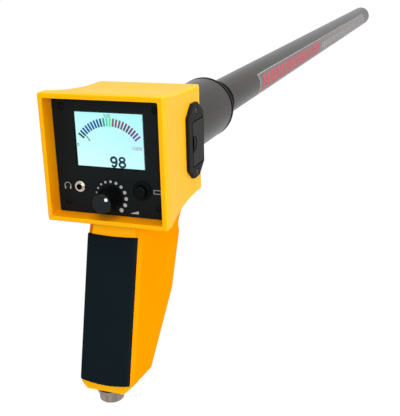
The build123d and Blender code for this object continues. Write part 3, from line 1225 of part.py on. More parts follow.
with BuildPart() as controls_lead:
    starts = [
        (POT_LEAD_X, POT_BACK_Y + LUG_LENGTH, POT_LUG_Z),
        (JACK_LEAD_X, JACK_BACK_Y + LUG_LENGTH, JACK_Z),
        (BUTTON_LEAD_X, SWITCH_LENGTH + LUG_LENGTH, BUTTON_Z),
    ]
    for x, y, z in starts:
        lead([(x, y, z), (x, HEADER_ROW_Y, z), (x, HEADER_ROW_Y, HEADER_TOP_Z)], THIN_LEAD_R, THIN_BEND)
controls_lead.part.label = "controls_lead"

with BuildPart() as display_ribbon:
    ribbon_start = DISPLAY_BOARD_BACK_Y + RIBBON_SOCKET_T
    with BuildLine() as ribbon_route:
        FilletPolyline(
            (RIBBON_X, ribbon_start, RIBBON_Z),
            (RIBBON_X, RIBBON_ROW_Y, RIBBON_Z),
            (RIBBON_X, RIBBON_ROW_Y, HEADER_TOP_Z),
            radius=RIBBON_BEND,
        )
    with BuildSketch(facing(ribbon_start)):
        with Locations((RIBBON_X, RIBBON_Z)):
            Rectangle(RIBBON_W, RIBBON_T)
    sweep(path=ribbon_route.line)
display_ribbon.part.label = "display_ribbon"

PIECES = [
    head_housing, face_panel, panel_screws,
    display_window, display_gasket, display_module, display_board, display_studs, display_screws,
    knob, knob_dot, knob_grub_screw, pot_body, pot_nut, pot_shaft,
    jack_socket, jack_nut, button_bezel, button_nut, button_cap, button_spring,
    battery_box, battery_box_screws, battery_drawer, battery, battery_contacts,
    main_board, board_standoffs, board_screws, buzzer,
    collar_tube, collar_screws, collar_end_ring, tube_gland, tube_bush,
    probe_tube, probe_end_cap, tube_label_film,
    sensor_carrier, carrier_discs, fluxgate_front, fluxgate_rear, sensor_cable,
    handle_shell, handle_screws, grip_pad,
    connector_gasket, connector_body, connector_insert, connector_pins, connector_nut,
    connector_lead, battery_lead, controls_lead, display_ribbon,
]
os.makedirs("parts", exist_ok=True)
for piece in PIECES:
    export_step(piece.part, f"parts/{piece.part.label}.step")
    print(piece.part.label, len(piece.part.solids()), round(piece.part.volume, 1))
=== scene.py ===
# %% [markdown]
# # Dressing a hand-held magnetometer
# The instrument has a yellow moulded head with a hooded display, a raked handle with a soft pad, and a
# long dark probe tube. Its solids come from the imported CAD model, which is loaded first and never moved.
# Everything below is in metres and in the same frame: X to the operator's right, Y along the probe, Z up.

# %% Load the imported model
import json
from math import cos, pi, radians, sin, sqrt

import bmesh
import bpy
from mathutils import Matrix, Vector


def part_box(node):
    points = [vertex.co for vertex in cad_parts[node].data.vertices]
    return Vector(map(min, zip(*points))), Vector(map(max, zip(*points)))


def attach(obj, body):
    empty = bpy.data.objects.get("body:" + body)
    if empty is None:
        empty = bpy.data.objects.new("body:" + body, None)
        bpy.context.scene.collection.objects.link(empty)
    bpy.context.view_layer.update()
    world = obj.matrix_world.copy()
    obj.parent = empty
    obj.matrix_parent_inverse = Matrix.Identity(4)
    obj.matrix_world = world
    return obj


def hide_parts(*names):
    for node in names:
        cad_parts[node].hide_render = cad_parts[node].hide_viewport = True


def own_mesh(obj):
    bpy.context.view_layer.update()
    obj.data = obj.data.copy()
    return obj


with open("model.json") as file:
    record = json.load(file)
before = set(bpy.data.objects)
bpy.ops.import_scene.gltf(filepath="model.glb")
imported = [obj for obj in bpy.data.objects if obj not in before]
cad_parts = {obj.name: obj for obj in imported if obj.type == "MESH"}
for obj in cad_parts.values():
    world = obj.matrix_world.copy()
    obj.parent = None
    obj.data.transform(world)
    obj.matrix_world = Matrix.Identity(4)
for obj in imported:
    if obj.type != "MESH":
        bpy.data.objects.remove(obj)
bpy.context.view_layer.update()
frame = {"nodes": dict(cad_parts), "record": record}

MM = 0.001
record = frame["record"]
body_of_node = {node: body for body, nodes in record["behaviour"]["bodies"].items() for node in nodes}
slot_of_node = {part["node"]: part["material_slot"] for part in record["subparts"]}

# %% [markdown]
# ## The camera
# The photograph was taken from above, behind and to the right of the operator's place, from about half
# a metre. A camera could be aimed by eye, but its place, turn, focal length and centre were worked out
# from the straight edges of the head and the tube, so here they are only written down. The picture is
# 400 by 416 pixels, so the sensor's 36 mm lies along the longer side, and the shift moves the centre.

# %% Place the camera
AZIMUTH = radians(20.625)
ELEVATION = radians(19.896)
ROLL = radians(-1.649)
CAMERA_PLACE = (0.255493, -0.504881, 0.269509)
FOCAL_PX = 742.814
CENTRE_PX = (190.245, 223.257)
PICTURE_PX = (400, 416)
SENSOR_MM = 36.0

forward = Vector((-sin(AZIMUTH) * cos(ELEVATION), cos(AZIMUTH) * cos(ELEVATION), -sin(ELEVATION)))
level_right = Vector((cos(AZIMUTH), sin(AZIMUTH), 0))
level_up = level_right.cross(forward)
right = level_right * cos(ROLL) + level_up * sin(ROLL)
up = level_up * cos(ROLL) - level_right * sin(ROLL)
turn = Matrix((right, up, -forward)).transposed().to_4x4()

lens = bpy.data.cameras.new("camera")
lens.sensor_width = SENSOR_MM
lens.lens = FOCAL_PX / PICTURE_PX[1] * SENSOR_MM
lens.shift_x = (PICTURE_PX[0] / 2 - CENTRE_PX[0]) / PICTURE_PX[1]
lens.shift_y = (CENTRE_PX[1] - PICTURE_PX[1] / 2) / PICTURE_PX[1]
camera = bpy.data.objects.new("camera", lens)
camera.matrix_world = Matrix.Translation(CAMERA_PLACE) @ turn
bpy.context.collection.objects.link(camera)
bpy.context.scene.camera = camera
bpy.context.scene.view_settings.view_transform = "Standard"
print("lens", round(lens.lens, 2), "shift", round(lens.shift_x, 4), round(lens.shift_y, 4))

# %% [markdown]
# ## Colours and nodes
# Colours are written as the eye reads them, as sRGB hex values, while Blender's sockets take linear light,
# so one function converts. Node trees repeat one act, which is to add a node, set it and wire it, so one
# small function does that for shaders and for geometry alike. Every material starts from an empty tree.

# %% Three small helpers
def linear(code):
    channels = [int(code[i:i + 2], 16) / 255 for i in (1, 3, 5)]
    return [c / 12.92 if c <= 0.04045 else ((c + 0.055) / 1.055) ** 2.4 for c in channels] + [1]


def add(tree, kind, inputs=None, **settings):
    made = tree.nodes.new(kind)
    for key, value in settings.items():
        setattr(made, key, value)
    for key, value in (inputs or {}).items():
        if isinstance(value, bpy.types.NodeSocket):
            tree.links.new(value, made.inputs[key])
        else:
            made.inputs[key].default_value = value
    return made


def blank_material(name):
    material = bpy.data.materials.new(name)
    material.use_nodes = True
    material.node_tree.nodes.clear()
    return material, material.node_tree


print("signal yellow in linear light:", [round(c, 3) for c in linear("#FFB400")])

# %% [markdown]
# ## Studio
# The photograph is cut out on white. The instrument is held at hand height, so the pale floor lies well
# below it and its soft shadow falls outside the picture. White comes from what camera and mirror rays see
# of the floor and the world, not from extra light on the yellow plastic. Broad lamps from above, from the
# operator's side and from the right give soft shading, and leave the inside of the hood in shade.

# %% Floor, world and lamps
FLOOR_Z = -0.85
FLOOR_HALF = 30.0
FLOOR_WHITE_SHARE = 0.97
FLOOR_GLOW = 1.03
FILL = 0.20
WHITE = linear("#FFFFFF")


def seen_directly(tree):
    ray = add(tree, "ShaderNodeLightPath").outputs
    mirror = {0: ray["Is Camera Ray"], 1: ray["Is Glossy Ray"]}
    first = add(tree, "ShaderNodeMath", mirror, operation="MAXIMUM").outputs[0]
    glass = {0: first, 1: ray["Is Transmission Ray"]}
    return add(tree, "ShaderNodeMath", glass, operation="MAXIMUM").outputs[0]


mesh = bpy.data.meshes.new("studio_floor")
corners = [(sx * FLOOR_HALF, sy * FLOOR_HALF, FLOOR_Z) for sx, sy in ((-1, -1), (1, -1), (1, 1), (-1, 1))]
mesh.from_pydata(corners, [], [(0, 1, 2, 3)])
floor = bpy.data.objects.new("studio_floor", mesh)
bpy.context.collection.objects.link(floor)

pale, tree = blank_material("studio_floor_pale_paint")
share = add(tree, "ShaderNodeMath", {0: seen_directly(tree), 1: FLOOR_WHITE_SHARE}, operation="MULTIPLY")
matt = add(tree, "ShaderNodeBsdfDiffuse", {"Color": linear("#F4F4F2")})
white = add(tree, "ShaderNodeEmission", {"Color": WHITE, "Strength": FLOOR_GLOW})
mixed = add(tree, "ShaderNodeMixShader", {0: share.outputs[0], 1: matt.outputs[0], 2: white.outputs[0]})
add(tree, "ShaderNodeOutputMaterial", {"Surface": mixed.outputs[0]})
mesh.materials.append(pale)

world = bpy.data.worlds.new("white_studio")
bpy.context.scene.world = world
world.use_nodes = True
tree = world.node_tree
tree.nodes.clear()
fill = add(tree, "ShaderNodeBackground", {"Color": WHITE, "Strength": FILL})
white = add(tree, "ShaderNodeBackground", {"Color": WHITE, "Strength": 1.0})
mixed = add(tree, "ShaderNodeMixShader", {0: seen_directly(tree), 1: fill.outputs[0], 2: white.outputs[0]})
add(tree, "ShaderNodeOutputWorld", {"Surface": mixed.outputs[0]})

LAMPS = {  # place, aim, size in metres, watts
    "soft_box_above": ((0.15, 0.0, 1.2), (0.0, 0.1, 0.1), 0.9, 11.0),
    "soft_box_operator_side": ((0.5, -1.2, 0.5), (0.0, 0.0, 0.05), 0.9, 15.5),
    "soft_box_right": ((1.25, 0.2, 0.4), (0.0, 0.2, 0.1), 0.9, 11.5),
}
for name, (place, aim, size, watts) in LAMPS.items():
    light = bpy.data.lights.new(name, "AREA")
    light.size = size
    light.energy = watts
    lamp = bpy.data.objects.new(name, light)
    facing = (Vector(aim) - Vector(place)).to_track_quat("-Z", "Y").to_matrix().to_4x4()
    lamp.matrix_world = Matrix.Translation(place) @ facing
    bpy.context.collection.objects.link(lamp)
print("lamps:", list(LAMPS))

# %% [markdown]
# ## A start for every finish
# Each finish is a Principled shader whose colour, roughness and fine relief come from procedural noise in
# Object coordinates. The objects sit at the origin and are in metres, so a grain of so many millimetres is
# a noise scale of one over that length. What is the same all over a surface is set on the shader itself.
# Moulding textures are finer than a picture element, about 0.9 mm here, so they are drawn up to that size.
# The numbers after the colour are the roughness, then in millimetres the grain's width, its relief and the
# blotches' width, and last the share by which the tint varies.

# %% The moulded, coated and metal finishes share one recipe
GLOSS = "Specular IOR Level"
ROUGHNESS_SPREAD = 0.15


def finish(name, colour, roughness, grain_mm, relief_mm, blotch_mm, tint,
           drawn=(1, 1, 1), gloss=0.5, metallic=0.0):
    material, tree = blank_material(name)
    place = add(tree, "ShaderNodeTexCoord").outputs["Object"]
    along = add(tree, "ShaderNodeMapping", {"Vector": place, "Scale": drawn}).outputs[0]
    blotch = add(tree, "ShaderNodeTexNoise", {"Vector": along, "Scale": 1 / (blotch_mm * MM), "Detail": 3.0})
    grain = add(tree, "ShaderNodeTexNoise", {"Vector": along, "Scale": 1 / (grain_mm * MM), "Detail": 2.0})
    base = linear(colour)[:3]
    darker = [c * (1 - tint) for c in base] + [1]
    lighter = [min(1, c * (1 + tint)) for c in base] + [1]
    shade = add(tree, "ShaderNodeMix", {0: blotch.outputs[0], 6: darker, 7: lighter}, data_type="RGBA")
    smoother, rougher = roughness * (1 - ROUGHNESS_SPREAD), min(1, roughness * (1 + ROUGHNESS_SPREAD))
    rough = add(tree, "ShaderNodeMapRange", {0: grain.outputs[0], 3: smoother, 4: rougher})
    bump = add(tree, "ShaderNodeBump", {"Height": grain.outputs[0], "Distance": relief_mm * MM})
    surface = add(tree, "ShaderNodeBsdfPrincipled", {
        "Base Color": shade.outputs[2], "Roughness": rough.outputs[0], "Normal": bump.outputs[0],
        GLOSS: gloss, "Metallic": metallic,
    })
    add(tree, "ShaderNodeOutputMaterial", {"Surface": surface.outputs[0]})
    return material


# %% Plastics and rubbers
# ABS, injection moulded in a lightly eroded steel mould: even colour, broad soft highlights.
yellow_abs = finish("ABS_moulded_signal_yellow", "#FFB400", 0.42, 0.9, 0.006, 40, 0.03, gloss=0.14)
# On the handle the same ABS is drawn a deeper amber, which is painted shade on its flanks, and matt: its
# texture leaves no mirror share.
handle_shade_amber = finish("ABS_moulded_matt_amber", "#FF9500", 0.6, 0.9, 0.006, 45, 0.035, gloss=0.0)
# Inside the hood the yellow is matt and a shade deeper: the deeper yellow is painted shade of the hood's
# recess.
hood_shade_yellow = finish("ABS_moulded_coarse_yellow", "#FFA100", 0.6, 0.9, 0.006, 45, 0.035, gloss=0.0)
# ABS in charcoal, spark-eroded so that its shine is broken up.
charcoal_abs = finish("ABS_spark_eroded_charcoal", "#161615", 0.55, 0.6, 0.012, 12, 0.10, gloss=0.12)
# The battery box comes from another mould, a shade darker.
dark_abs = finish("ABS_spark_eroded_soot_grey", "#121211", 0.6, 0.6, 0.012, 12, 0.10, gloss=0.08)
# Dead black ABS on the drawer's thumb hollow: painted shade of the recess.
hollow_shade_black = finish("ABS_moulded_plain_black", "#050505", 0.7, 0.6, 0.006, 12, 0.10, gloss=0.0)
# Polycarbonate sheet with a matt black print on it: flat and near black.
panel_black = finish("polycarbonate_matt_black_print", "#0B1112", 0.6, 0.5, 0.004, 18, 0.12, gloss=0.1)
# Nylon, turned and moulded: black with a soft shine, on the knob's face, the end cap and pieces inside.
nylon_black = finish("nylon_moulded_black", "#10171A", 0.45, 0.5, 0.006, 8, 0.15, gloss=0.15)
# The bezel's nylon is a shade blacker than the panel: painted shade round the button.
bezel_shade_black = finish("nylon_moulded_soot_black", "#080B0C", 0.6, 0.5, 0.006, 8, 0.15, gloss=0.06)
# Acrylic, polished in the mould: smooth and dark, on the button's cap and the knob's grip.
gloss_black = finish("acrylic_polished_black", "#0A0B0C", 0.25, 0.6, 0.001, 8, 0.1, gloss=0.05)
# Neoprene gasket on the connector: dull, faintly mottled.
black_rubber = finish("neoprene_moulded_black", "#141516", 0.72, 0.7, 0.01, 9, 0.2, gloss=0.12)
# The gland's neoprene is dead black, with hardly any mirror share, so it reads as a shadow on the tube. The
# same dead black is painted shade in the seam of the collar's end ring and in the socket's mouth.
dead_black_shade = finish("neoprene_extruded_dead_black", "#080909", 0.7, 0.7, 0.01, 9, 0.2, gloss=0.03)
# White enamel wiped into the pointer's recess: clean, with a slight shine.
white_enamel = finish("enamel_white_fill", "#F6F6F4", 0.35, 0.5, 0.002, 5, 0.03)
print("plastics:", yellow_abs.name, handle_shade_amber.name, charcoal_abs.name, panel_black.name)

# %% Metals
# Aluminium tube, drawn lengthways and powder coated graphite: satin, with faint draw lines under the coat.
DRAWN = (1, 0.02, 1)
graphite = finish("aluminium_powder_coated_graphite", "#2E2C2B", 0.26, 2.2, 0.002, 9, 0.05, DRAWN,
                  gloss=0.08)
# Brass, turned and nickel plated: warm, mirror-like with fine turning marks.
nickel = finish("brass_nickel_plated", "#C4BCB0", 0.18, 0.5, 0.004, 6, 0.08, metallic=1.0)
# The same plating, darker, with upright light and dark streaks painted in for reflections off its flutes.
STREAK_STRETCH = (1, 1, 0.06)
streaked_nickel = finish("brass_nickel_plated_worn", "#8F857A", 0.4, 0.6, 0.01, 1.6, 0.45, STREAK_STRETCH, metallic=1.0)
# Brass left bare on pins and studs: yellow and half bright.
bare_brass = finish("brass_turned", "#C9A258", 0.3, 0.5, 0.004, 6, 0.08, metallic=1.0)
# Steel screws, zinc plated inside and blackened where they show: pale and bright, or dull black.
zinc_steel = finish("steel_zinc_plated", "#B9BDC0", 0.34, 0.5, 0.004, 5, 0.1, metallic=1.0)
black_steel = finish("steel_black_oxide", "#0D0E0E", 0.5, 0.4, 0.004, 4, 0.15, gloss=0.07)
# The battery box's screws are turned out now and then, and the driver has rubbed their black to bare steel.
rubbed_steel = finish("steel_black_oxide_rubbed", "#3E3F45", 0.3, 0.4, 0.004, 4, 0.3, metallic=1.0)
print("metals:", graphite.name, nickel.name, black_steel.name)

# %% [markdown]
# ## Pieces inside
# Boards, coils, cables and screws inside the head and the tube show only when the drawer is out or the
# part is taken apart. Their solids are right as they are, so each keeps its CAD node and gets a finish of
# its real material.

# %% Finishes of the pieces inside
# Glass fibre and epoxy under green solder mask: even, half gloss.
board_green = finish("glass_fibre_board_green", "#1E5A34", 0.45, 1.2, 0.02, 7, 0.2)
# The same laminate left bare: straw coloured, with its weave drawn out along the probe.
laminate = finish("glass_fibre_laminate_natural", "#B5A36A", 0.5, 0.8, 0.01, 10, 0.1, drawn=(1, 0.1, 1))
# Enamelled copper wire wound in close turns: fine bands across the coil.
WOUND = (0.05, 1, 0.05)
coil_copper = finish("copper_enamelled_winding", "#A4562A", 0.35, 0.5, 0.03, 6, 0.12, WOUND, metallic=0.8)
# PVC jackets, extruded: smooth, with a soft shine.
cable_grey = finish("PVC_cable_grey", "#5C5D60", 0.5, 0.8, 0.01, 10, 0.08)
wire_red = finish("PVC_wire_red", "#B02018", 0.45, 0.8, 0.01, 8, 0.08)
# Polyester ribbon, laminated: buff, with faint lines along its wires.
ribbon_buff = finish("polyester_ribbon_buff", "#BDB29A", 0.45, 0.6, 0.01, 8, 0.08, drawn=(1, 0.05, 1))
# Steel sleeve of the battery, lacquered: dark and half gloss.
cell_sleeve = finish("steel_lacquered_battery_sleeve", "#26272B", 0.35, 0.8, 0.004, 12, 0.1)
# Closed-cell foam, cut from a block: matt and pitted.
foam_black = finish("foam_closed_cell_black", "#1C1D1F", 0.85, 0.9, 0.06, 6, 0.2, gloss=0.1)
CAD_FINISHES = {
    "display_gasket": foam_black, "display_board": board_green, "display_studs": bare_brass,
    "display_screws": zinc_steel, "display_module": nylon_black, "knob_grub_screw": black_steel,
    "pot_body": zinc_steel, "pot_nut": nickel, "pot_shaft": nickel, "jack_socket": nickel,
    "button_nut": nylon_black, "battery": cell_sleeve,
    "battery_contacts": nickel, "main_board": board_green, "board_standoffs": bare_brass,
    "board_screws": zinc_steel, "buzzer": nylon_black, "collar_screws": zinc_steel,
    "tube_bush": charcoal_abs, "sensor_carrier": laminate, "carrier_discs": foam_black,
    "fluxgate_front": coil_copper, "fluxgate_rear": coil_copper, "sensor_cable": cable_grey,
    "handle_screws": zinc_steel, "connector_insert": nylon_black, "connector_pins": bare_brass,
    "connector_nut": nickel, "connector_lead": cable_grey, "battery_lead": wire_red,
    "controls_lead": cable_grey, "display_ribbon": ribbon_buff,
}


def dress(node, material):
    slots = frame["nodes"][node].data.materials
    slots.clear()
    slots.append(material)


for node, material in CAD_FINISHES.items():
    dress(node, material)
print("pieces finished as they are:", len(CAD_FINISHES))

# %% [markdown]
# ## Skins for the solids that show
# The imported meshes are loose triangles, so light breaks along every facet. The real mouldings have smooth
# skins and softened edges. Each shown solid is copied, its corners are merged and its smooth faces are
# shaded together. Weighted normals keep the flat faces flat beside a fillet, and a narrow bevel rounds what
# a mould or a lathe would not leave sharp.

# %% Keep a finished piece on its body
def keep(name, mesh, body, slot, *nodes):
    piece = bpy.data.objects.new(name, mesh)
    bpy.context.collection.objects.link(piece)
    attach(piece, body)
    if nodes:
        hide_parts(*nodes)
    return piece


# %% Turn a form or a result into a mesh, and cut one mesh out of another
def mesh_of(form, name):
    mesh = bpy.data.meshes.new(name)
    form.to_mesh(mesh)
    form.free()
    return mesh


def evaluated_mesh(holder):
    ready = holder.evaluated_get(bpy.context.evaluated_depsgraph_get())
    mesh = bpy.data.meshes.new_from_object(ready)
    holder.modifiers.clear()
    bpy.data.objects.remove(holder)
    return mesh


def cut_away(mesh, punch_mesh):
    blank = bpy.data.objects.new(mesh.name, mesh)
    punch = bpy.data.objects.new(punch_mesh.name, punch_mesh)
    for made in (blank, punch):
        bpy.context.collection.objects.link(made)
    cut = blank.modifiers.new("cut away", "BOOLEAN")
    cut.object = punch
    cut.solver = "EXACT"
    cut.use_self = True
    result = evaluated_mesh(blank)
    bpy.data.objects.remove(punch)
    return result


# %% [markdown]
# ## The drawer's front
# The battery drawer has a half-moon hollow for the thumb and a thin shadow gap where its front meets the
# box. The faces could be pulled in by hand, but both are plain recesses, so two scoops and four bars are
# made here, and they are cut out of the drawer when it gets its skin.

# %% The drawer's thumb hollow and shadow gap
DRAWER_FRONT = [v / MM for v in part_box("battery_drawer")[1]]
DRAWER_LOW = [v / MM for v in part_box("battery_drawer")[0]]
HOLLOW_MIDDLE_MM = (55.4, 122.7)
HOLLOW_HALF_MM = 6.7
SCOOPS_MM = [(3.4, 47.6, 47.6), (7.6, 48.5, 49.6)]  # width, floor at the notch, floor at the far end
GAP_MM = (0.9, 0.7)  # beside the drawer's front, and above and below it
GAP_FLOOR_MM = 48.6
CLEAR_MM = 52.0
PAST_MM = 1.0  # how far the cutting bars stand past the drawer's edges
ARC_STEPS = 24

form = bmesh.new()
arc = [-pi / 2 + pi * i / ARC_STEPS for i in range(ARC_STEPS + 1)]
for width, near, far in SCOOPS_MM:
    rim = [(near + (far - near) * cos(t), HOLLOW_MIDDLE_MM[0] + width * cos(t),
            HOLLOW_MIDDLE_MM[1] + HOLLOW_HALF_MM * sin(t)) for t in arc]
    moon = form.faces.new([form.verts.new([v * MM for v in point]) for point in rim])
    grown = bmesh.ops.extrude_face_region(form, geom=[moon])["geom"]
    for corner in grown:
        if isinstance(corner, bmesh.types.BMVert):
            corner.co.x = CLEAR_MM * MM
(_, rear_y, foot_z), (_, front_y, head_z) = DRAWER_LOW, DRAWER_FRONT
past_rear, past_front = rear_y - PAST_MM, front_y + PAST_MM
past_foot, past_head = foot_z - PAST_MM, head_z + PAST_MM
bars = [
    (past_rear, rear_y + GAP_MM[0], past_foot, past_head),
    (front_y - GAP_MM[0], past_front, past_foot, past_head),
    (past_rear, past_front, past_foot, foot_z + GAP_MM[1]),
    (past_rear, past_front, head_z - GAP_MM[1], past_head),
]
for y0, y1, z0, z1 in bars:
    for corner in bmesh.ops.create_cube(form, size=1)["verts"]:
        x = CLEAR_MM if corner.co.x > 0 else GAP_FLOOR_MM
        corner.co = Vector((x, y1 if corner.co.y > 0 else y0, z1 if corner.co.z > 0 else z0)) * MM
bmesh.ops.recalc_face_normals(form, faces=form.faces)
drawer_cuts = mesh_of(form, "drawer_cuts")
HOLLOWS = {"battery_drawer": drawer_cuts}
print("drawer cuts:", len(drawer_cuts.polygons), "faces to cut with")

# %% Skin a solid
SMOOTH = radians(32)
FLAT = radians(0.2)
SAME_POINT_MM = 0.001


def shade(mesh, angle):
    form = bmesh.new()
    form.from_mesh(mesh)
    for face in form.faces:
        face.smooth = True
    for edge in form.edges:
        edge.smooth = edge.calc_face_angle(pi) < angle
    form.to_mesh(mesh)
    form.free()


def skin(node, material, edge_mm=0.0):
    form = bmesh.new()
    form.from_mesh(frame["nodes"][node].data)
    bmesh.ops.remove_doubles(form, verts=form.verts, dist=SAME_POINT_MM * MM)
    mesh = bpy.data.meshes.new(node + "_skin")
    form.to_mesh(mesh)
    if node in HOLLOWS:
        mesh = cut_away(mesh, HOLLOWS[node])
        form.clear()
        form.from_mesh(mesh)
        bmesh.ops.dissolve_degenerate(form, dist=SAME_POINT_MM * MM, edges=form.edges)
    if edge_mm or node in HOLLOWS:
        bmesh.ops.dissolve_limit(form, angle_limit=FLAT, verts=form.verts, edges=form.edges)
        form.to_mesh(mesh)
    form.free()
    mesh.materials.append(material)
    shade(mesh, SMOOTH)
    piece = keep(node + "_skin", mesh, body_of_node[node], slot_of_node[node], node)
    if edge_mm:
        bevel = piece.modifiers.new("softened edges", "BEVEL")
        bevel.width = edge_mm * MM
        bevel.segments = 2
        bevel.limit_method = "ANGLE"
        bevel.angle_limit = SMOOTH
        bevel.harden_normals = True
    else:
        even = piece.modifiers.new("flat faces stay flat", "WEIGHTED_NORMAL")
        even.keep_sharp = True
    return piece


SKINS = {  # finish, softened edge in millimetres
    "head_housing": (yellow_abs, 0), "handle_shell": (handle_shade_amber, 0), "face_panel": (panel_black, 0.15),
    "knob": (nylon_black, 0.2), "knob_dot": (white_enamel, 0.1), "jack_nut": (nickel, 0.1),
    "button_bezel": (bezel_shade_black, 0), "button_cap": (gloss_black, 0), "battery_box": (dark_abs, 0.2),
    "battery_drawer": (charcoal_abs, 0), "collar_tube": (graphite, 0.3), "collar_end_ring": (graphite, 0),
    "tube_gland": (dead_black_shade, 0), "probe_tube": (graphite, 0), "probe_end_cap": (nylon_black, 0),
    "connector_gasket": (black_rubber, 0.15), "connector_body": (streaked_nickel, 0.15),
}
for node, (material, edge) in SKINS.items():
    print(node, len(skin(node, material, edge).data.polygons), "faces")

# %% [markdown]
# ## Two finishes on one piece
# Some pieces change their look from face to face. The hood's inside is a deeper yellow than its outside, and
# the flanks of the handle a deeper amber than its back: both are painted shade. A dead black band on the
# rear half of the collar's end ring is painted shade in its seam, the drawer's thumb hollow is painted
# darker than its front as shade in the recess, and the knob's grip is glossier than its face. A mask in the
# shader could do it, but a second material on the right faces is plainer.

# %% Give some faces of a skin a second finish
HOOD_MIDDLE_Z = 0.122  # in metres, as the centres of faces are
SEAM_SHADE_FRONT_Y = 0.2261
HOLLOW_SLACK_MM = 0.05
# How far a face's normal leans along the probe, from 0 on a side wall to 1 on a face square to the probe.
HOOD_WALL_LEAN, HANDLE_BACK_LEAN, KNOB_GRIP_LEAN = 0.5, 0.8, 0.6


def second_finish(node, material, belongs):
    mesh = bpy.data.objects[node + "_skin"].data
    mesh.materials.append(material)
    for face in mesh.polygons:
        face.material_index = int(belongs(face))
    print(node, sum(face.material_index for face in mesh.polygons), "of", len(mesh.polygons), material.name)


def inside_hood(face):
    outward = face.normal.x * face.center.x + face.normal.z * (face.center.z - HOOD_MIDDLE_Z)
    return face.center.y < 0 and abs(face.normal.y) < HOOD_WALL_LEAN and outward < 0


def towards_operator(face):
    return face.normal.y < -HANDLE_BACK_LEAN


def in_seam_shade(face):
    return face.center.y < SEAM_SHADE_FRONT_Y


def round_side(face):
    return abs(face.normal.y) < KNOB_GRIP_LEAN


def in_thumb_hollow(face):
    (deep, floor, _), (_, shallow, _) = SCOOPS_MM
    out, along, up = face.center / MM
    low = floor - HOLLOW_SLACK_MM < out < shallow + HOLLOW_SLACK_MM
    beside = along < HOLLOW_MIDDLE_MM[0] + deep + HOLLOW_SLACK_MM
    return low and beside and abs(up - HOLLOW_MIDDLE_MM[1]) < HOLLOW_HALF_MM + HOLLOW_SLACK_MM


# The end ring is split where its band of painted shade ends.
form = bmesh.new()
ring = bpy.data.objects["collar_end_ring_skin"].data
form.from_mesh(ring)
every = form.verts[:] + form.edges[:] + form.faces[:]
bmesh.ops.bisect_plane(form, geom=every, plane_co=(0, SEAM_SHADE_FRONT_Y, 0), plane_no=(0, 1, 0))
form.to_mesh(ring)
form.free()
# Painted shade: the hood's inner walls get a deeper yellow.
second_finish("head_housing", hood_shade_yellow, inside_hood)
# The handle's back keeps the yellow; the amber on its flanks is painted shade.
second_finish("handle_shell", yellow_abs, towards_operator)
# Painted shade: a dead black band in the seam where the end ring meets the collar.
second_finish("collar_end_ring", dead_black_shade, in_seam_shade)
# Painted shade: the drawer's thumb hollow is dead black.
second_finish("battery_drawer", hollow_shade_black, in_thumb_hollow)
second_finish("knob", gloss_black, round_side)

# %% [markdown]
# ## The knob's taper
# The knob is a plain fluted cylinder in the solids, and the real one widens towards the panel, so that its
# foot stands close to the printed dots. A new body could be turned, but the skin already has the flutes, so
# its outer points are moved in or out in step with their distance from the panel.

# %% Widen the foot, narrow the face
KNOB_AXIS_MM = (-1.0, 89.5)
KNOB_BORE_MM = 6.8  # points nearer the axis than this stay where they are
KNOB_ENDS_MM = (-1.0, -18.0)  # the foot and the face
KNOB_WIDTHS = (1.2, 0.9)  # of the foot and the face, as shares of the solid's
for corner in bpy.data.objects["knob_skin"].data.vertices:
    side, depth, up = corner.co / MM
    out = Vector((side - KNOB_AXIS_MM[0], up - KNOB_AXIS_MM[1]))
    if out.length > KNOB_BORE_MM:
        share = (depth - KNOB_ENDS_MM[0]) / (KNOB_ENDS_MM[1] - KNOB_ENDS_MM[0])
        out *= KNOB_WIDTHS[0] + share * (KNOB_WIDTHS[1] - KNOB_WIDTHS[0])
        corner.co.x, corner.co.z = (KNOB_AXIS_MM[0] + out.x) * MM, (KNOB_AXIS_MM[1] + out.y) * MM

# %% [markdown]
# ## Geometry Nodes, run once and kept
# Screws, printed dots, meter ticks and label bars repeat, so each is one shape and one rule for its places.
# Copies could be made in a Python loop, but a node tree keeps the rule readable and its sizes can be
# changed in one place. The tree runs on a holder object, and its result is kept as a plain mesh.

# %% Start a tree, end it, and run it
def geometry_tree(name, inputs):
    tree = bpy.data.node_groups.new(name, "GeometryNodeTree")
    for label, kind in inputs.items():
        tree.interface.new_socket(label, in_out="INPUT", socket_type="NodeSocket" + kind)
    tree.interface.new_socket("Geometry", in_out="OUTPUT", socket_type="NodeSocketGeometry")
    return tree, add(tree, "NodeGroupInput").outputs


def end_tree(tree, geometry, material):
    real = add(tree, "GeometryNodeRealizeInstances", {"Geometry": geometry}).outputs[0]
    dressed = add(tree, "GeometryNodeSetMaterial", {"Geometry": real, "Material": material}).outputs[0]
    add(tree, "NodeGroupOutput", {"Geometry": dressed})


def grow(tree, sizes, start=None):
    holder = bpy.data.objects.new(tree.name, start or bpy.data.meshes.new(tree.name))
    bpy.context.collection.objects.link(holder)
    run = holder.modifiers.new("grow", "NODES")
    run.node_group = tree
    for item in tree.interface.items_tree:
        if item.in_out == "INPUT" and item.name in sizes:
            run[item.identifier] = sizes[item.name]
    return evaluated_mesh(holder)


# %% [markdown]
# ## The spring behind the button
# A coil of round steel wire pushes the button back out. Wire is wound on a mandrel, so here a circle follows
# a spiral. The coil is held at the switch and gets shorter as the button goes in.

# %% Wind the coil
COIL_MIDDLE_MM = (26.5, 97.4)
COIL_ENDS_MM = (1.86, 9.79)
COIL_R_MM, WIRE_R_MM, COIL_PITCH_MM = 3.2, 0.3, 2.6
COIL_STEPS, WIRE_SIDES = 28, 10
ROUNDED = radians(60)

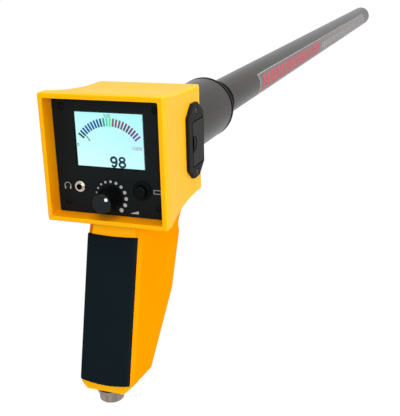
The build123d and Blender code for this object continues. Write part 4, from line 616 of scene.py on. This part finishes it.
tree, size = geometry_tree("coil_spring", {
    "Turns": "Float", "Coil Radius": "Float", "Length": "Float", "Wire Radius": "Float", "Start": "Vector",
    "Finish": "Material",
})
coil = {"Resolution": COIL_STEPS, "Rotations": size["Turns"], "Start Radius": size["Coil Radius"],
        "End Radius": size["Coil Radius"], "Height": size["Length"]}
coil = add(tree, "GeometryNodeCurveSpiral", coil).outputs[0]
laid = {"Geometry": coil, "Translation": size["Start"], "Rotation": (-pi / 2, 0, 0)}
laid = add(tree, "GeometryNodeTransform", laid).outputs[0]
wire = {"Resolution": WIRE_SIDES, "Radius": size["Wire Radius"]}
wire = add(tree, "GeometryNodeCurvePrimitiveCircle", wire, mode="RADIUS").outputs[0]
swept = {"Curve": laid, "Profile Curve": wire, "Fill Caps": True}
end_tree(tree, add(tree, "GeometryNodeCurveToMesh", swept).outputs[0], size["Finish"])
length_mm = COIL_ENDS_MM[1] - COIL_ENDS_MM[0]
start_mm = (COIL_MIDDLE_MM[0], COIL_ENDS_MM[0], COIL_MIDDLE_MM[1])
mesh = grow(tree, {
    "Turns": length_mm / COIL_PITCH_MM, "Coil Radius": COIL_R_MM * MM, "Length": length_mm * MM,
    "Wire Radius": WIRE_R_MM * MM, "Start": [v * MM for v in start_mm], "Finish": zinc_steel,
})
shade(mesh, ROUNDED)
coil = keep("button_coil_spring", mesh, "instrument", slot_of_node["button_spring"], "button_spring")
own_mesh(coil)

# %% [markdown]
# ## Screws
# The panel and the battery box are held by small pan-head screws with a cross recess. A screw is
# turned on a lathe and its recess is punched, so here the profile is spun and a tapered cross is cut out.
# The node tree puts one on each seat, aims it along the seat's axis and turns it by a chance angle.

# %% Make one screw
SCREW_PROFILE_MM = [
    (0, 1.6), (1.2, 1.56), (2.0, 1.34), (2.55, 0.9), (2.8, 0.4),
    (2.8, 0), (1.45, 0), (1.45, -9.4), (0.8, -10), (0, -10),
]
CROSS_LENGTH_MM = 3.3
CROSS_WIDTH_MM = 0.85
CROSS_DEPTH_MM = 0.95
CROSS_TAPER = 0.45
PUNCH_TOP_MM = 2.5


def lathe(form, profile_mm, steps):
    ring = [form.verts.new((r * MM, 0, z * MM)) for r, z in profile_mm]
    edges = [form.edges.new(pair) for pair in zip(ring, ring[1:])]
    bmesh.ops.spin(form, geom=ring + edges, cent=(0, 0, 0), axis=(0, 0, 1), angle=2 * pi, steps=steps)
    bmesh.ops.remove_doubles(form, verts=form.verts, dist=SAME_POINT_MM * MM)
    bmesh.ops.recalc_face_normals(form, faces=form.faces)


form = bmesh.new()
lathe(form, SCREW_PROFILE_MM, steps=28)
turned = mesh_of(form, "pan_head_screw")
form = bmesh.new()
for quarter in (0, pi / 2):
    bar = bmesh.ops.create_cube(form, size=1)["verts"]
    for corner in bar:
        low = corner.co.z < 0
        corner.co.x *= CROSS_LENGTH_MM * MM * (CROSS_TAPER if low else 1)
        corner.co.y *= CROSS_WIDTH_MM * MM
        corner.co.z = (SCREW_PROFILE_MM[0][1] - CROSS_DEPTH_MM if low else PUNCH_TOP_MM) * MM
    bmesh.ops.rotate(form, verts=bar, cent=(0, 0, 0), matrix=Matrix.Rotation(quarter, 3, "Z"))
screw = bpy.data.objects.new("screw_to_copy", cut_away(turned, mesh_of(form, "cross_punch")))
bpy.context.collection.objects.link(screw)
print("one screw:", len(screw.data.polygons), "faces")

# %% A tree that puts a screw on each seat
tree, size = geometry_tree("screws_on_seats", {
    "Seats": "Geometry", "Screw": "Object", "Axis": "Vector", "Seed": "Int", "Finish": "Material",
})
one = add(tree, "GeometryNodeObjectInfo", {"Object": size["Screw"], "As Instance": True}).outputs["Geometry"]
chance = add(tree, "FunctionNodeRandomValue", {2: 0.0, 3: pi / 2, "Seed": size["Seed"]}).outputs[1]
aim = add(tree, "FunctionNodeAlignRotationToVector", {"Vector": size["Axis"]}, axis="Z").outputs[0]
spun = add(tree, "FunctionNodeAxisAngleToRotation", {"Axis": (0, 0, 1), "Angle": chance}).outputs[0]
both = {"Rotation": aim, "Rotate By": spun}
stance = add(tree, "FunctionNodeRotateRotation", both, rotation_space="LOCAL").outputs[0]
seated = {"Points": size["Seats"], "Instance": one, "Rotation": stance}
placed = add(tree, "GeometryNodeInstanceOnPoints", seated).outputs[0]
end_tree(tree, placed, size["Finish"])

SEATS_MM = {  # node: seats, axis out of the seat, seed, finish
    "panel_screws": ([(x, 0, z) for x in (-39.5, 39.5) for z in (83.3, 160.7)], (0, -1, 0), 3, black_steel),
    "battery_box_screws": ([(48.4, 63.6, z) for z in (96.55, 148.95)], (1, 0, 0), 5, rubbed_steel),
}
for node, (seats, axis, seed, material) in SEATS_MM.items():
    points = bpy.data.meshes.new(node)
    points.from_pydata([[v * MM for v in seat] for seat in seats], [], [])
    sizes = {"Screw": screw, "Axis": axis, "Seed": seed, "Finish": material}
    mesh = grow(tree, sizes, points)
    shade(mesh, SMOOTH)
    keep(node + "_cross_recess", mesh, body_of_node[node], slot_of_node[node], node)
bpy.data.objects.remove(screw)

# %% [markdown]
# ## The sleeve in the headphone socket
# A thin dead black sleeve lines the mouth of the socket, inside its bright nut; its black is painted shade
# of the socket's mouth. A cylinder with a hole could be cut, but the sleeve is a turned ring with a softened
# front edge, so its profile is spun like the screw's.

# %% Turn the sleeve
SLEEVE_MM = [(1.82, 0.01), (2.45, 0.01), (2.45, 0.12), (2.3, 0.22), (1.97, 0.22), (1.82, 0.12), (1.82, 0.01)]
SOCKET_MM = (-27.3, -3.0, 97.1)
form = bmesh.new()
lathe(form, SLEEVE_MM, steps=32)
mesh = mesh_of(form, "jack_sleeve")
mesh.transform(Matrix.Translation([v * MM for v in SOCKET_MM]) @ Matrix.Rotation(pi / 2, 4, "X"))
# The sleeve's dead black is painted shade inside the socket's mouth.
mesh.materials.append(dead_black_shade)
shade(mesh, SMOOTH)
keep("jack_sleeve", mesh, "instrument", slot_of_node["button_bezel"])

# %% [markdown]
# ## Print on the panel
# The scale round the knob is a row of pale dots that grow clockwise, and small signs stand beside the
# socket, the button and the knob. On the real panel they are screen printed, an ink film that the eye sees
# as flat. Each print is a thin closed solid on the panel, so it also keeps its shape in the exported model.

# %% Dots that grow round the knob
INK_MM = 0.06
# Epoxy ink, screen printed: matt, pale grey, slightly uneven in tone.
ink_grey = finish("epoxy_ink_screen_printed_grey", "#A9ACAA", 0.6, 0.5, 0.004, 3, 0.12, gloss=0.2)


def points_on_arc(tree, size, angle, radius):
    across = add(tree, "ShaderNodeMath", {0: angle}, operation="SINE").outputs[0]
    above = add(tree, "ShaderNodeMath", {0: angle}, operation="COSINE").outputs[0]
    ray = add(tree, "ShaderNodeCombineXYZ", {"X": across, "Z": above}).outputs[0]
    spot = {0: ray, 1: radius, 2: size["Centre"]}
    place = add(tree, "ShaderNodeVectorMath", spot, operation="MULTIPLY_ADD").outputs[0]
    return add(tree, "GeometryNodePoints", {"Count": size["Count"], "Position": place}).outputs[0]


tree, size = geometry_tree("scale_dots", {
    "Count": "Int", "Circle": "Float", "First": "Float", "Step": "Float", "Step Growth": "Float",
    "Smallest": "Float", "Largest": "Float", "Ink": "Float", "Centre": "Vector", "Finish": "Material",
})
index = add(tree, "GeometryNodeInputIndex").outputs[0]
# Small dots stand closer together: each step is a little wider than the one before it.
grown = add(tree, "ShaderNodeMath", {0: index, 1: size["Step Growth"]}, operation="MULTIPLY").outputs[0]
mean_step = {0: grown, 1: 0.5, 2: size["Step"]}
widened = add(tree, "ShaderNodeMath", mean_step, operation="MULTIPLY_ADD").outputs[0]
dial = {0: index, 1: widened, 2: size["First"]}
angle = add(tree, "ShaderNodeMath", dial, operation="MULTIPLY_ADD").outputs[0]
points = points_on_arc(tree, size, angle, size["Circle"])
last = add(tree, "ShaderNodeMath", {0: size["Count"], 1: 1.0}, operation="SUBTRACT").outputs[0]
growth = {0: index, 1: 0.0, 2: last, 3: size["Smallest"], 4: size["Largest"]}
radius = add(tree, "ShaderNodeMapRange", growth).outputs[0]
scale = add(tree, "ShaderNodeCombineXYZ", {"X": radius, "Y": radius, "Z": size["Ink"]}).outputs[0]
disc = add(tree, "GeometryNodeMeshCylinder", {"Vertices": 24, "Radius": 1.0, "Depth": 1.0}).outputs["Mesh"]
copies = {"Points": points, "Instance": disc, "Rotation": (pi / 2, 0, 0), "Scale": scale}
dots = add(tree, "GeometryNodeInstanceOnPoints", copies).outputs[0]
end_tree(tree, dots, size["Finish"])
mesh = grow(tree, {
    "Count": 15, "Circle": 13.1 * MM, "First": radians(-140), "Step": radians(14.6),
    "Step Growth": radians(0.77), "Smallest": 0.25 * MM, "Largest": 1.75 * MM, "Ink": INK_MM * MM,
    "Centre": (KNOB_AXIS_MM[0] * MM, -INK_MM / 2 * MM, KNOB_AXIS_MM[1] * MM), "Finish": ink_grey,
})
keep("scale_dots", mesh, "instrument", "white_paint")
print("scale dots:", len(mesh.polygons), "faces")

# %% Small signs
def stamp(name, outlines_mm, centre_mm, front_mm, material, slot):
    form = bmesh.new()
    for outline in outlines_mm:
        corners = [((centre_mm[0] + x) * MM, front_mm * MM, (centre_mm[1] + z) * MM) for x, z in outline]
        face = form.faces.new([form.verts.new(corner) for corner in corners])
        grown = bmesh.ops.extrude_face_region(form, geom=[face])["geom"]
        backs = [item for item in grown if isinstance(item, bmesh.types.BMVert)]
        bmesh.ops.translate(form, verts=backs, vec=(0, INK_MM * MM, 0))
    bmesh.ops.recalc_face_normals(form, faces=form.faces)
    mesh = mesh_of(form, name)
    mesh.materials.append(material)
    return keep(name, mesh, "instrument", slot)


def oval_band(x, z, half_w, half_h, stroke, start_deg, end_deg, steps=24):
    turns = [radians(start_deg + (end_deg - start_deg) * i / steps) for i in range(steps + 1)]
    far = [(x + half_w * cos(t), z + half_h * sin(t)) for t in turns]
    inner_w, inner_h = half_w - stroke, half_h - stroke
    return far + [(x + inner_w * cos(t), z + inner_h * sin(t)) for t in reversed(turns)]


def oblong(x, z, width, height):
    return [(x - width / 2, z - height / 2), (x + width / 2, z - height / 2),
            (x + width / 2, z + height / 2), (x - width / 2, z + height / 2)]


SIGNS = {  # outlines about their own centre, and the centre on the panel
    "sign_headphones": ([oval_band(0, 0, 3.0, 3.0, 0.45, -15, 195), oblong(-2.35, -1.5, 1.1, 2.3),
                         oblong(2.35, -1.5, 1.1, 2.3)], (-39.2, 96.5)),
    "sign_battery": ([oblong(0, 1.45, 6.4, 0.45), oblong(0, -1.45, 6.4, 0.45), oblong(-2.98, 0, 0.45, 2.45),
                      oblong(2.98, 0, 0.45, 2.45), oblong(3.6, 0, 0.7, 1.4)], (39.2, 97.0)),
    "sign_sensitivity": ([[(-3.8, -1.0), (3.8, -1.0), (3.8, 1.6)]], (18.6, 78.4)),
}
for name, (outlines, centre) in SIGNS.items():
    print(name, len(stamp(name, outlines, centre, -INK_MM, ink_grey, "white_paint").data.polygons), "faces")

# %% [markdown]
# ## The lit display
# Behind a clear window lies a small colour screen, lit pale cyan, with a fan of coloured ticks, a short
# needle, plain scale numbers and a large reading. A picture of it could be mapped on a plane, but every mark
# is simple, so each is a thin solid that shines by itself: the ticks by a node tree with a colour stored on
# each copy, and the numbers from Blender's own font, turned into meshes before they are placed.

# %% Light of the screen
DISPLAY_MM = (0.0, 135.5)
SCREEN_MM = (57.6, 43.2)
SCREEN_FRONT_MM = 1.54
MARKS_FRONT_MM = 1.47
ACROSS_SHARE = 0.35
CLOUD_MM, CLOUD_SHARE = 9, 0.35
SCREEN_GLOW = 1.05
UNLIT = linear("#020303")


def lit(name, low, high):
    material, tree = blank_material(name)
    place = add(tree, "ShaderNodeTexCoord").outputs["Object"]
    # The light falls off from the lower left corner, where the lamps sit, to the upper right one.
    slope = {0: place, 1: (ACROSS_SHARE, 0, 1)}
    height = add(tree, "ShaderNodeVectorMath", slope, operation="DOT_PRODUCT").outputs["Value"]
    reach = (SCREEN_MM[1] + ACROSS_SHARE * SCREEN_MM[0]) / 2
    ends = {0: height, 1: (DISPLAY_MM[1] - reach) * MM, 2: (DISPLAY_MM[1] + reach) * MM}
    rise = add(tree, "ShaderNodeMapRange", ends).outputs[0]
    # The backlight's sheet leaves the light faintly cloudy, in patches of about 9 mm.
    cloud = add(tree, "ShaderNodeTexNoise", {"Vector": place, "Scale": 1 / (CLOUD_MM * MM)}).outputs[0]
    clouded = {0: cloud, 1: CLOUD_SHARE, 2: rise}
    level = add(tree, "ShaderNodeMath", clouded, operation="MULTIPLY_ADD").outputs[0]
    centred = {0: level, 1: CLOUD_SHARE / 2}
    even = add(tree, "ShaderNodeMath", centred, operation="SUBTRACT", use_clamp=True).outputs[0]
    tones = {0: even, 6: linear(low), 7: linear(high)}
    glow = add(tree, "ShaderNodeMix", tones, data_type="RGBA").outputs[2]
    shine = {"Base Color": UNLIT, "Emission Color": glow, "Emission Strength": SCREEN_GLOW, GLOSS: 0.0}
    surface = add(tree, "ShaderNodeBsdfPrincipled", shine)
    add(tree, "ShaderNodeOutputMaterial", {"Surface": surface.outputs[0]})
    return material


# Liquid crystal over a white backlight: pale cyan where it is clear, near navy where it is shut.
cyan_ground = lit("liquid_crystal_lit_cyan", "#D8FEFC", "#B0F9FC")
navy_mark = lit("liquid_crystal_shut_navy", "#0B3145", "#0B3145")
green_mark = lit("liquid_crystal_lit_green", "#2FA070", "#2FA070")
rose_mark = lit("liquid_crystal_lit_rose", "#A8709A", "#A8709A")
stamp("lit_screen", [oblong(0, 0, *SCREEN_MM)], DISPLAY_MM, SCREEN_FRONT_MM, cyan_ground, "display_glass")
NEEDLE = [(-19.9, 2.4), (-19.3, 2.8), (-16.5, -1.2), (-17.1, -1.6)]
stamp("meter_needle", [NEEDLE], DISPLAY_MM, MARKS_FRONT_MM, navy_mark, "display_glass")
# The reading is bolder than the font, so its digits are drawn as bands of ovals: each has a centre, half its
# width and height, a stroke, and the two angles between which it runs.
NINE = [oval_band(-3.6, 1.6, 3.25, 3.05, 1.8, turn, turn + 180) for turn in (0, 180)]
NINE.append(oval_band(-3.6, 0, 3.25, 4.65, 1.8, -140, 25))
EIGHT = [oval_band(3.6, 2.2, 2.95, 2.45, 1.65, turn, turn + 180) for turn in (0, 180)]
EIGHT += [oval_band(3.6, -1.85, 3.3, 2.8, 1.75, turn, turn + 180) for turn in (0, 180)]
READING_MM = (DISPLAY_MM[0] + 6.3, DISPLAY_MM[1] - 17.0)
stamp("reading", NINE + EIGHT, READING_MM, MARKS_FRONT_MM, navy_mark, "display_glass")
print("screen front at", SCREEN_FRONT_MM, "mm, marks at", MARKS_FRONT_MM, "mm behind the panel's face")

# %% Ticks of the meter
TICK_COLOURS = [
    (0.00, "#0E4A56"), (0.07, "#124E78"), (0.12, "#164C9A"), (0.33, "#1C509A"), (0.38, "#0A525E"),
    (0.42, "#2A8A80"), (0.46, "#54D8BC"), (0.53, "#60E898"), (0.57, "#8C5C74"), (0.68, "#8A5872"),
    (0.80, "#724068"), (0.92, "#784288"), (1.00, "#8E50B4"),
]
FAN_CENTRE_BELOW_MM = 15.5
# The ticks shine in the colour that is stored on each copy.
ticks_lit, tree = blank_material("liquid_crystal_lit_ticks")
tint = add(tree, "ShaderNodeAttribute", attribute_name="tint").outputs["Color"]
shine = {"Base Color": UNLIT, "Emission Color": tint, "Emission Strength": 1.0, GLOSS: 0.0}
surface = add(tree, "ShaderNodeBsdfPrincipled", shine)
add(tree, "ShaderNodeOutputMaterial", {"Surface": surface.outputs[0]})

tree, size = geometry_tree("meter_ticks", {
    "Count": "Int", "Outer": "Float", "Half Span": "Float", "Longest": "Float", "Shortest": "Float",
    "Width": "Float", "Ink": "Float", "Centre": "Vector", "Finish": "Material",
})
index = add(tree, "GeometryNodeInputIndex").outputs[0]
last = add(tree, "ShaderNodeMath", {0: size["Count"], 1: 1.0}, operation="SUBTRACT").outputs[0]
share = add(tree, "ShaderNodeMath", {0: index, 1: last}, operation="DIVIDE").outputs[0]
left = add(tree, "ShaderNodeMath", {0: size["Half Span"], 1: -1.0}, operation="MULTIPLY").outputs[0]
angle = add(tree, "ShaderNodeMapRange", {0: share, 3: left, 4: size["Half Span"]}).outputs[0]
off = add(tree, "ShaderNodeMath", {0: angle}, operation="ABSOLUTE").outputs[0]
taper = {0: off, 2: size["Half Span"], 3: size["Longest"], 4: size["Shortest"]}
length = add(tree, "ShaderNodeMapRange", taper).outputs[0]
half_in = {0: length, 1: -0.5, 2: size["Outer"]}
middle = add(tree, "ShaderNodeMath", half_in, operation="MULTIPLY_ADD").outputs[0]
points = points_on_arc(tree, size, angle, middle)
bar = add(tree, "GeometryNodeMeshCube", {"Size": (1, 1, 1)}).outputs["Mesh"]
lean = add(tree, "ShaderNodeCombineXYZ", {"Y": angle}).outputs[0]
scale = add(tree, "ShaderNodeCombineXYZ", {"X": size["Width"], "Y": size["Ink"], "Z": length}).outputs[0]
copies = {"Points": points, "Instance": bar, "Rotation": lean, "Scale": scale}
fan = add(tree, "GeometryNodeInstanceOnPoints", copies).outputs[0]
ramp = add(tree, "ShaderNodeValToRGB", {0: share})
stops = ramp.color_ramp.elements
stops[0].color, stops[1].color = linear(TICK_COLOURS[0][1]), linear(TICK_COLOURS[-1][1])
for at, code in TICK_COLOURS[1:-1]:
    stops.new(at).color = linear(code)
tinted = {"Geometry": fan, "Name": "tint", "Value": ramp.outputs[0]}
kind = {"data_type": "FLOAT_COLOR", "domain": "INSTANCE"}
fan = add(tree, "GeometryNodeStoreNamedAttribute", tinted, **kind).outputs[0]
end_tree(tree, fan, size["Finish"])
fan_centre = (DISPLAY_MM[0], MARKS_FRONT_MM + INK_MM / 2, DISPLAY_MM[1] - FAN_CENTRE_BELOW_MM)
mesh = grow(tree, {
    "Count": 22, "Outer": 33.2 * MM, "Half Span": radians(52.8), "Longest": 6.6 * MM, "Shortest": 6.0 * MM,
    "Width": 1.65 * MM, "Ink": INK_MM * MM,
    "Centre": [v * MM for v in fan_centre], "Finish": ticks_lit,
})
keep("meter_ticks", mesh, "instrument", "display_glass")
print("meter ticks:", len(mesh.polygons), "faces, tinted:", "tint" in mesh.attributes)

# %% Numbers on the screen
def numeral(name, digits, extent_mm, centre_mm, material):
    letters = bpy.data.curves.new(name, "FONT")
    letters.body = digits
    letters.extrude = 0.1  # any thickness will do, as it is stretched to the ink's below
    holder = bpy.data.objects.new(name, letters)
    bpy.context.collection.objects.link(holder)
    mesh = evaluated_mesh(holder)
    low = [min(v.co[i] for v in mesh.vertices) for i in range(3)]
    high = [max(v.co[i] for v in mesh.vertices) for i in range(3)]
    middle = Vector([(a + b) / 2 for a, b in zip(low, high)])
    wanted = (*extent_mm, INK_MM)
    stretch = Matrix.Diagonal([wanted[i] * MM / (high[i] - low[i]) for i in range(3)] + [1])
    upright = Matrix.Rotation(pi / 2, 4, "X")
    x, z = DISPLAY_MM[0] + centre_mm[0], DISPLAY_MM[1] + centre_mm[1]
    seat = Matrix.Translation((x * MM, (MARKS_FRONT_MM + INK_MM / 2) * MM, z * MM))
    mesh.transform(seat @ upright @ stretch @ Matrix.Translation(-middle))
    mesh.materials.append(material)
    return keep(name, mesh, "instrument", "display_glass")


NUMBERS = {  # digits, width and height, centre, light
    "scale_low": ("0", (1.7, 2.4), (-27.5, -4.6), navy_mark),
    "scale_middle": ("500", (5.8, 2.7), (-0.8, 19.3), green_mark),
    "scale_high": ("1000", (7.8, 2.7), (23.4, -5.1), rose_mark),
}
for name, (digits, extent, centre, light) in NUMBERS.items():
    print(name, len(numeral(name, digits, extent, centre, light).data.polygons), "faces")

# %% The window over it
# Acrylic sheet, cast, polished and coated against reflections: clear, with wipe marks that only show as a
# change of gloss. The coat leaves about a fifth of the bare sheet's mirror image, so the index is lower.
COATED_IOR = 1.2
WIPE_MM, WIPE_STRETCH = 4, (1, 1, 0.25)
WIPE_BAND, WIPED_ROUGHNESS = (0.4, 0.8), 0.05
acrylic, tree = blank_material("acrylic_cast_coated_clear")
place = add(tree, "ShaderNodeTexCoord").outputs["Object"]
wipe = add(tree, "ShaderNodeMapping", {"Vector": place, "Scale": WIPE_STRETCH}).outputs[0]
fine = {"Vector": wipe, "Scale": 1 / (WIPE_MM * MM), "Detail": 4.0}
marks = add(tree, "ShaderNodeTexNoise", fine).outputs[0]
dulled = {0: marks, 1: WIPE_BAND[0], 2: WIPE_BAND[1], 3: 0.0, 4: WIPED_ROUGHNESS}
rough = add(tree, "ShaderNodeMapRange", dulled).outputs[0]
clear = {"Base Color": linear("#F7FCFC"), "Roughness": rough, "IOR": COATED_IOR, "Transmission Weight": 1.0}
surface = add(tree, "ShaderNodeBsdfPrincipled", clear)
add(tree, "ShaderNodeOutputMaterial", {"Surface": surface.outputs[0]})
dress("display_window", acrylic)

# %% [markdown]
# ## The film on the probe tube
# A long printed film lies on the right side of the tube, with a thin pale outline and a row of plain slanted
# bars, red near the head and pale beyond. A flat row of bars could be bent by a modifier, but the rule is
# short: a bar's height becomes an angle round the tube, so a node tree does it.

# %% The film and its outline
TUBE_AXIS_MM = 118.0
FILM_R_MM = 20.28
FILM_ENDS_MM = (377.0, 1297.0)
FILM_HALF_MM = 13.1
OUTLINE_MM = 0.9  # finer on the real film
OUTLINE_TONE = linear("#A9A5A3")
PALER_FROM_MM = 640.0  # towards the tip the film's ground is drawn paler
PALER_TONE = linear("#8C8487")

# Polyester film, printed from behind: satin, a shade paler than the tube.
film = finish("polyester_film_printed_graphite", "#56524F", 0.38, 1.0, 0.003, 30, 0.08, gloss=0.4)
tree = film.node_tree
surface = next(made for made in tree.nodes if made.type == "BSDF_PRINCIPLED")
ground = surface.inputs["Base Color"].links[0].from_socket
place = add(tree, "ShaderNodeTexCoord").outputs["Object"]
axes = add(tree, "ShaderNodeSeparateXYZ", {0: place}).outputs
lift = add(tree, "ShaderNodeMath", {0: axes["Z"], 1: TUBE_AXIS_MM * MM}, operation="SUBTRACT").outputs[0]
round_tube = add(tree, "ShaderNodeMath", {0: lift, 1: axes["X"]}, operation="ARCTAN2").outputs[0]
spread = add(tree, "ShaderNodeMath", {0: round_tube}, operation="ABSOLUTE").outputs[0]
edge_angle = (FILM_HALF_MM - OUTLINE_MM) / FILM_R_MM
side = add(tree, "ShaderNodeMath", {0: spread, 1: edge_angle}, operation="GREATER_THAN").outputs[0]
middle_mm, half_mm = sum(FILM_ENDS_MM) / 2, (FILM_ENDS_MM[1] - FILM_ENDS_MM[0]) / 2
along = {0: axes["Y"], 1: middle_mm * MM}
reach = add(tree, "ShaderNodeMath", along, operation="SUBTRACT").outputs[0]
reach = add(tree, "ShaderNodeMath", {0: reach}, operation="ABSOLUTE").outputs[0]
end = {0: reach, 1: (half_mm - 2 * OUTLINE_MM) * MM}
end = add(tree, "ShaderNodeMath", end, operation="GREATER_THAN").outputs[0]
line = add(tree, "ShaderNodeMath", {0: side, 1: end}, operation="MAXIMUM").outputs[0]
fade = {0: axes["Y"], 1: PALER_FROM_MM * MM, 2: FILM_ENDS_MM[1] * MM}
fade = add(tree, "ShaderNodeMapRange", fade).outputs[0]
ground = add(tree, "ShaderNodeMix", {0: fade, 6: ground, 7: PALER_TONE}, data_type="RGBA").outputs[2]
outlined = {0: line, 6: ground, 7: OUTLINE_TONE}
edged = add(tree, "ShaderNodeMix", outlined, data_type="RGBA").outputs[2]
tree.links.new(edged, surface.inputs["Base Color"])
print("film:", len(skin("tube_label_film", film).data.polygons), "faces, box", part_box("tube_label_film"))

# %% Bars bent round the tube
# Vinyl ink on the film: red and pale grey, with a little gloss.
ink_red = finish("vinyl_ink_printed_red", "#B64854", 0.5, 0.8, 0.002, 10, 0.1, gloss=0.3)
ink_pale = finish("vinyl_ink_printed_pale", "#A7A3A2", 0.5, 0.8, 0.002, 10, 0.1, gloss=0.3)
tree, size = geometry_tree("bars_round_tube", {
    "Count": "Int", "First": "Float", "Pitch": "Float", "Width": "Float", "Height": "Float", "Ink": "Float",
    "Slant": "Float", "Tube Radius": "Float", "Axis Height": "Float", "Finish": "Material",
})
extent = {"X": size["Ink"], "Y": size["Width"], "Z": size["Height"]}
flat = add(tree, "ShaderNodeCombineXYZ", extent).outputs[0]
bar = add(tree, "GeometryNodeMeshCube", {"Size": flat, "Vertices Z": 9}).outputs["Mesh"]
start = add(tree, "ShaderNodeCombineXYZ", {"Y": size["First"]}).outputs[0]
step = add(tree, "ShaderNodeCombineXYZ", {"Y": size["Pitch"]}).outputs[0]
row = {"Count": size["Count"], "Start Location": start, "Offset": step}
row = add(tree, "GeometryNodeMeshLine", row).outputs[0]
row = add(tree, "GeometryNodeInstanceOnPoints", {"Points": row, "Instance": bar}).outputs[0]
row = add(tree, "GeometryNodeRealizeInstances", {"Geometry": row}).outputs[0]
here = add(tree, "ShaderNodeSeparateXYZ", {0: add(tree, "GeometryNodeInputPosition").outputs[0]}).outputs
slanted = {0: here["Z"], 1: size["Slant"], 2: here["Y"]}
slanted = add(tree, "ShaderNodeMath", slanted, operation="MULTIPLY_ADD").outputs[0]
angle = add(tree, "ShaderNodeMath", {0: here["Z"], 1: size["Tube Radius"]}, operation="DIVIDE").outputs[0]
radius = add(tree, "ShaderNodeMath", {0: size["Tube Radius"], 1: here["X"]}, operation="ADD").outputs[0]
across = add(tree, "ShaderNodeMath", {0: angle}, operation="COSINE").outputs[0]
across = add(tree, "ShaderNodeMath", {0: across, 1: radius}, operation="MULTIPLY").outputs[0]
above = add(tree, "ShaderNodeMath", {0: angle}, operation="SINE").outputs[0]
above = {0: above, 1: radius, 2: size["Axis Height"]}
above = add(tree, "ShaderNodeMath", above, operation="MULTIPLY_ADD").outputs[0]
bent = add(tree, "ShaderNodeCombineXYZ", {"X": across, "Y": slanted, "Z": above}).outputs[0]
row = add(tree, "GeometryNodeSetPosition", {"Geometry": row, "Position": bent}).outputs[0]
end_tree(tree, row, size["Finish"])
BAR_SLANT = 0.35
BAR_LIFT_MM = 0.01
ROWS = {  # count, first, pitch, width, height in millimetres, ink
    "label_bars_red": (20, 399.0, 18.5, 12.5, 18.0, ink_red),
    "label_bars_pale": (30, 786.0, 16.6, 9.0, 9.0, ink_pale),
}
for name, (count, first, pitch, width, height, ink) in ROWS.items():
    mesh = grow(tree, {
        "Count": count, "First": first * MM, "Pitch": pitch * MM, "Width": width * MM, "Height": height * MM,
        "Ink": INK_MM * MM, "Slant": BAR_SLANT, "Axis Height": TUBE_AXIS_MM * MM,
        "Tube Radius": (FILM_R_MM + INK_MM / 2 + BAR_LIFT_MM) * MM, "Finish": ink,
    })
    keep(name, mesh, "instrument", "film")
    print(name, count, "bars,", len(mesh.polygons), "faces")

# %% [markdown]
# ## The grip pad
# The operator's palm lies on a firm foam pad with a smooth moulded skin, glued to the flat back of the
# handle. Cloth under pressure would swell it like a cushion, which this one is not, so its form is written
# as a height over the glued face: a flat crown that falls in a quarter round to all four edges. The upper
# edge dips a little in the middle and the lower edge drops, as the ends of the CAD pad do.

# %% Form the pad
# All sizes of the pad are in millimetres.
PAD_FOOT_MM = (0, -17.7, 0)
PAD_LEAN = radians(15)
PAD_LEFT, PAD_RIGHT = -23.5, 21.5
FLAT_HALF_W = 21.4
PAD_TOP, PAD_TOP_DIP = 60.4, 1.1
PAD_BOTTOM, PAD_BOTTOM_DROP = 61.8, 2.5
PAD_T, PAD_CROWN, PAD_ROUND = 3.4, 0.45, 1.9
EDGE_STEPS = [0, 0.05, 0.2, 0.45, 0.8, 1.25, 1.9, 3.0]
PITCH_ACROSS, PITCH_UP = 2.0, 2.5

out = Vector((0, -cos(PAD_LEAN), sin(PAD_LEAN)))
rise = Vector((0, sin(PAD_LEAN), cos(PAD_LEAN)))


def stations(length, pitch):
    inner = length - 2 * EDGE_STEPS[-1]
    count = round(inner / pitch)
    middle = [EDGE_STEPS[-1] + inner * i / count for i in range(1, count)]
    return EDGE_STEPS + middle + [length - step for step in reversed(EDGE_STEPS)]


def rolled(distance):
    return sqrt(1 - (1 - min(distance / PAD_ROUND, 1)) ** 2)


columns = stations(PAD_RIGHT - PAD_LEFT, PITCH_ACROSS)
rows = stations(PAD_TOP + PAD_BOTTOM, PITCH_UP)


def pad_point(s, t, thick):
    x = PAD_LEFT + s
    u, v = 2 * s / columns[-1] - 1, t / rows[-1]
    low = -PAD_BOTTOM - PAD_BOTTOM_DROP * (1 - u * u)
    high = PAD_TOP - PAD_TOP_DIP * (1 - u * u)
    crown = PAD_T - PAD_CROWN + PAD_CROWN * (1 - u * u) * (1 - (2 * v - 1) ** 4)
    height = thick * crown * rolled(min(s, columns[-1] - s)) * rolled(min(t, rows[-1] - t))
    height -= max(0, abs(x) - FLAT_HALF_W)  # over the chamfer the glued face falls away at 45 degrees
    return (Vector(PAD_FOOT_MM) + Vector((x, 0, 0)) + rise * (low + (high - low) * v) + out * height) * MM


form = bmesh.new()
crowned = [[form.verts.new(pad_point(s, t, 1)) for s in columns] for t in rows]
glued = [line[:] for line in crowned]
for j in range(1, len(rows) - 1):
    for i in range(1, len(columns) - 1):
        glued[j][i] = form.verts.new(pad_point(columns[i], rows[j], 0))
for layer in (crowned, glued):
    for lower, upper in zip(layer, layer[1:]):
        for i in range(len(columns) - 1):
            form.faces.new((lower[i], lower[i + 1], upper[i + 1], upper[i]))
bmesh.ops.recalc_face_normals(form, faces=form.faces)
mesh = mesh_of(form, "grip_pad_foam")
shade(mesh, ROUNDED)
# Neoprene foam with a moulded skin: dull navy black, leathery at about a millimetre.
skin_black = finish("neoprene_foam_moulded_skin", "#0C161B", 0.72, 1.0, 0.03, 12, 0.14, gloss=0.05)
mesh.materials.append(skin_black)
pad = keep("grip_pad_foam", mesh, "instrument", "grip_foam", "grip_pad")
